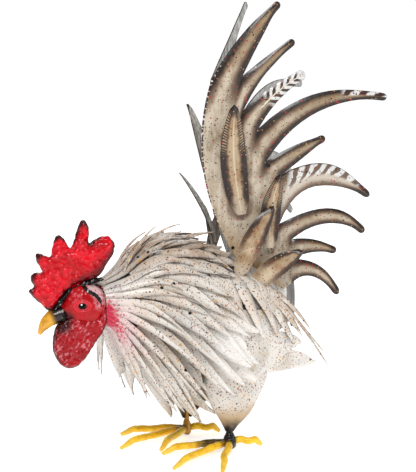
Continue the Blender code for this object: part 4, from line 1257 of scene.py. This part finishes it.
beak_coat.brush(beak_coat.cloud(0.008).rise(0.35, 0.65), ink(198, 134, 30))
beak_coat.brush(beak_coat.near(on_head(24, 0, -10), 0.019, 0.013), ink(30, 18, 14))
beak_paint = beak_coat.finished(beak_coat.cloud(0.004), depth=0.0005)
settle(beak, "hooked_beak", "ochre_yellow_paint", [beak_paint], "beak")


# Weld beads: rippled runs of steel weld, painted glossy black. They hold the comb along both sides
# of its foot and the beak round its root, and one runs down each side of the skull behind the eye.
COMB_SEAM = ((-22, 27), (-10, 25), (4, 21), (17, 14), (26, 5), (35, -6))
CREST_SEAM = ((3, 25), (1, 20), (-4, 15.5), (-11, 11), (-16, 5), (-18, -2))
BEAK_SEAM_RADIUS = 9.2
WELD_RIPPLE = 0.004
weld_coat = Coat("weld_paint", ink(5, 3, 3), roughness=0.12, gloss=0.22)
weld_coat.brush(weld_coat.cloud(0.004).rise(0.5, 0.8) * 0.4, ink(52, 12, 16))
glints = weld_coat.cloud(0.0030, 2.0, weld_coat.turned(STREAK_SLANT, (2.6, 1.0, 0.8)))
weld_coat.brush(glints.rise(0.60, 0.66) * 0.7, ink(206, 200, 198))
weld_paint = weld_coat.finished(weld_coat.cloud(0.0022), depth=0.0006)


def weld_bead(name, corners, radius):
    """A rippled bead through the corners."""
    lengths = [0.0]
    for start, end in zip(corners, corners[1:]):
        lengths.append(lengths[-1] + (end - start).length)
    count = max(8, int(lengths[-1] / WELD_RIPPLE * 6))
    points, radii = [], []
    for step in range(count + 1):
        run = lengths[-1] * step / count
        points.append(Vector([through_stations(lengths, column, run) for column in zip(*corners)]))
        ends = min(1.0, 0.25 + 4 * min(step, count - step) / count)
        radii.append(radius * ends * (1 + 0.40 * abs(math.sin(math.pi * run / WELD_RIPPLE))))
    bead = bent_rod(points, radii, sides=12)
    hammer(bead, size=0.003, depth=0.0006)
    settle(bead, name, "glossy_black_paint", [weld_paint])


for side, label in SIDES:
    seam = [on_head(forward, side * 6.0, up) for forward, up in COMB_SEAM]
    weld_bead(f"{label}_comb_weld", seam, 0.0022)
for side, label in SIDES:
    seam = [on_skull(forward, side, up) for forward, up in CREST_SEAM]
    weld_bead(f"{label}_crest_weld", seam, 0.0018)
root_ring = []
for step in range(13):
    turn = 2 * math.pi * step / 12 + 1.0
    forward, up = 24 + 1.5 * math.sin(turn), -11 + BEAK_SEAM_RADIUS * math.sin(turn)
    root_ring.append(on_head(forward, BEAK_SEAM_RADIUS * math.cos(turn), up))
weld_bead("beak_weld", root_ring, 0.0019)


# Thighs: a sheet rolled into a funnel round each leg rod, open towards the other leg. It is flared
# at the top, where it is tacked under the body, and drawn in to the ankle. Rows are height, half
# width, half depth and how far behind the rod.
THIGH_SECTIONS = (
    (0.0215, 0.0048, 0.0050, 0.0000),
    (0.0270, 0.0090, 0.0060, 0.0015),
    (0.0330, 0.0150, 0.0075, 0.0040),
    (0.0400, 0.0218, 0.0095, 0.0065),
    (0.0550, 0.0320, 0.0120, 0.0070),
    (0.0680, 0.0392, 0.0135, 0.0077),
    (0.0775, 0.0438, 0.0125, 0.0088),
    (0.0850, 0.0446, 0.0125, 0.0090),
    (0.0930, 0.0410, 0.0130, 0.0060),
    (0.1080, 0.0380, 0.0120, 0.0050),
)
THIGH_OPENING = math.radians(110)


def foot_of(side):
    """The middle of a foot on the floor."""
    return Vector((side * 0.003, -side * 0.0405, 0.0))


def thigh_fold(side):
    foot = foot_of(side)
    heights, *measures = zip(*THIGH_SECTIONS)

    def fold(along, across):
        height = heights[0] + (heights[-1] - heights[0]) * (along + 1) / 2
        width, depth, behind = (through_stations(heights, row, height) for row in measures)
        angle = math.pi + across * (math.pi - THIGH_OPENING / 2)
        back = behind + width * math.sin(angle)
        return foot + Vector((back, side * depth * math.cos(angle), height))

    return fold


def thigh_coat():
    """Cream, browned towards the ankle and black round it."""
    coat = cream_paint("thigh_paint")
    height = coat.axis("Z") + (coat.cloud(0.008) - 0.5) * 0.010
    coat.brush(height.rise(0.058, 0.036) * 0.85, ink(178, 148, 106))
    coat.brush(height.rise(0.040, 0.024), ink(30, 20, 16))
    return coat.finished(coat.cloud(0.014, 3.0), depth=0.0010)


thigh_paint = [thigh_coat()] * 2
for side, label in SIDES:
    inside = (side * 0.003, -side * 0.034, 0.05)
    thigh = bend_strips(cut_strip(30, 32), [thigh_fold(side)], inside, sheet=0.0011)
    settle(thigh, f"{label}_thigh_sheet", "speckled_cream_paint", thigh_paint, f"{label}_thigh")


# Feet: a leg rod ends in a lump of weld, and four toes bent from rod are welded to it. Each toe is
# hammered, arched at its knuckle and cut to a bevelled nail.
LEFT_TOES = {
    "inner": (-0.080, -0.022), "middle": (-0.103, -0.080), "outer": (-0.067, -0.124),
    "back": (0.039, -0.056),
}
RIGHT_TOES = {
    "inner": (-0.073, -0.008), "middle": (-0.107, 0.026), "outer": (-0.074, 0.078),
    "back": (0.033, 0.022),
}
TOE_SHARES = (0.0, 0.05, 0.18, 0.34, 0.46, 0.58, 0.70, 0.80, 0.90, 1.0)
TOE_HEIGHTS = (0.0080, 0.0080, 0.0089, 0.0098, 0.0088, 0.0080, 0.0086, 0.0089, 0.0055, 0.0022)
TOE_GIRTHS = (0.0034, 0.0036, 0.0040, 0.0043, 0.0040, 0.0039, 0.0041, 0.0039, 0.0032, 0.0021)
TOE_BENDS = (0.0, 0.0, 0.5, 1.0, 0.2, -1.0, -0.4, 0.6, 0.4, 0.0)


LEG_PROFILE = (
    (0.0000, 0.0060), (0.0030, 0.0080), (0.0060, 0.0086), (0.0090, 0.0085), (0.0120, 0.0078),
    (0.0150, 0.0066), (0.0180, 0.0046), (0.0215, 0.0038), (0.0300, 0.0034), (0.0500, 0.0034),
    (0.0750, 0.0034), (0.0930, 0.0034),
)
TOE_STEPS = 56
FLOOR_GAP = 0.0002


def toe_coat(name, black_reach):
    """Yellow enamel with brown in its hollows, and black as far out from the hub as it reaches."""
    coat = Coat(name, ink(250, 204, 34), roughness=0.28, gloss=0.5)
    along = coat.mark("along")
    hollows = coat.cloud(0.0040, 2.0)
    coat.brush(coat.cloud(0.007).rise(0.35, 0.65), ink(240, 180, 18))
    coat.brush(hollows.rise(0.58, 0.72) * 0.40, ink(176, 116, 20))
    coat.brush(along.rise(0.80, 0.92) * 0.5, ink(240, 200, 90))
    hub = along * 0.10 + (coat.cloud(0.006) - 0.5) * 0.02
    coat.brush(hub.rise(black_reach + 0.012, black_reach - 0.006) * 0.92, ink(26, 17, 14))
    return coat.finished(hollows, depth=0.0006)


near_inner_paint = toe_coat("near_inner_toe_paint", 0.046)
near_paint = toe_coat("toe_paint", 0.016)
far_paint = toe_coat("far_toe_paint", 0.012)
hub_coat = Coat("hub_paint", ink(12, 8, 7), roughness=0.16, gloss=0.5)
far_rod = hub_coat.axis("Y").rise(0.0, 0.02) * hub_coat.axis("Z").rise(-0.004, 0.006)
hub_coat.brush(hub_coat.cloud(0.005).rise(0.55, 0.75) * 0.35, ink(84, 48, 18))
hub_coat.brush(far_rod * 0.95, ink(196, 140, 30))
hub_paint = hub_coat.finished(hub_coat.cloud(0.003), depth=0.0010)
for side, label in SIDES:
    foot = foot_of(side)
    slim = 0.70 if side < 0 else 1.0
    leg_points = [foot + Vector((0, 0, height)) for height, radius in LEG_PROFILE]
    leg = bent_rod(leg_points, [radius * slim for height, radius in LEG_PROFILE], sides=24)
    apply_modifier(leg, "SUBSURF", levels=1, render_levels=1)
    for vertex in leg.data.vertices:
        if 0.001 < vertex.co.z < 0.030:
            swell = noise.noise(vertex.co / 0.0045) * 0.0009 * min(1.0, vertex.co.z / 0.003)
            vertex.co += (vertex.co - Vector((foot.x, foot.y, vertex.co.z))).normalized() * swell
    settle(leg, f"{label}_leg_rod", "glossy_black_paint", [hub_paint], f"{label}_shank")
    for kind, tip in (LEFT_TOES if side > 0 else RIGHT_TOES).items():
        path = Vector((*tip, 0.0)) - foot
        sideways = Vector((-path.y, path.x, 0)).normalized() * 0.0016
        points, radii = [], []
        for step in range(TOE_STEPS + 1):
            share = step / TOE_STEPS
            rise = through_stations(TOE_SHARES, TOE_HEIGHTS, share)
            bend = through_stations(TOE_SHARES, TOE_BENDS, share)
            lump = 1.04 + 0.03 * math.sin(share * 47 + 3 * side) + 0.02 * math.sin(share * 83)
            points.append(foot + path * share + sideways * bend + Vector((0, 0, rise)))
            radii.append(through_stations(TOE_SHARES, TOE_GIRTHS, share) * lump)
        toe = bent_rod(points, radii, sides=16)
        runs = [(vertex.co - foot).dot(path) / path.length**2 for vertex in toe.data.vertices]
        mark_points(toe, "along", runs)
        hammer(toe, size=0.006, depth=0.0003)
        lowest = min(vertex.co.z for vertex in toe.data.vertices)
        if lowest < FLOOR_GAP:
            toe.data.transform(Matrix.Translation((0, 0, FLOOR_GAP - lowest)))
        near = near_inner_paint if kind == "inner" else near_paint
        paint = near if side > 0 else far_paint
        settle(toe, f"{label}_{kind}_rod_toe", "ochre_yellow_paint", [paint], f"{label}_{kind}_toe")


# Rivets: the dome of a grey steel rivet shows low on each wing, which it holds to the body. The CAD
# domes are kept as they are, and only painted.
rivet_coat = Coat("rivet_paint", ink(150, 150, 150), roughness=0.35, clear_coat=0.3)
rivet_coat.brush(rivet_coat.cloud(0.003).rise(0.4, 0.6), ink(96, 92, 90))
rivet_paint = rivet_coat.finished()
for side, label in SIDES:
    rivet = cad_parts[f"{label}_wing_rivet"]
    rivet.data.materials.clear()
    rivet.data.materials.append(rivet_paint)
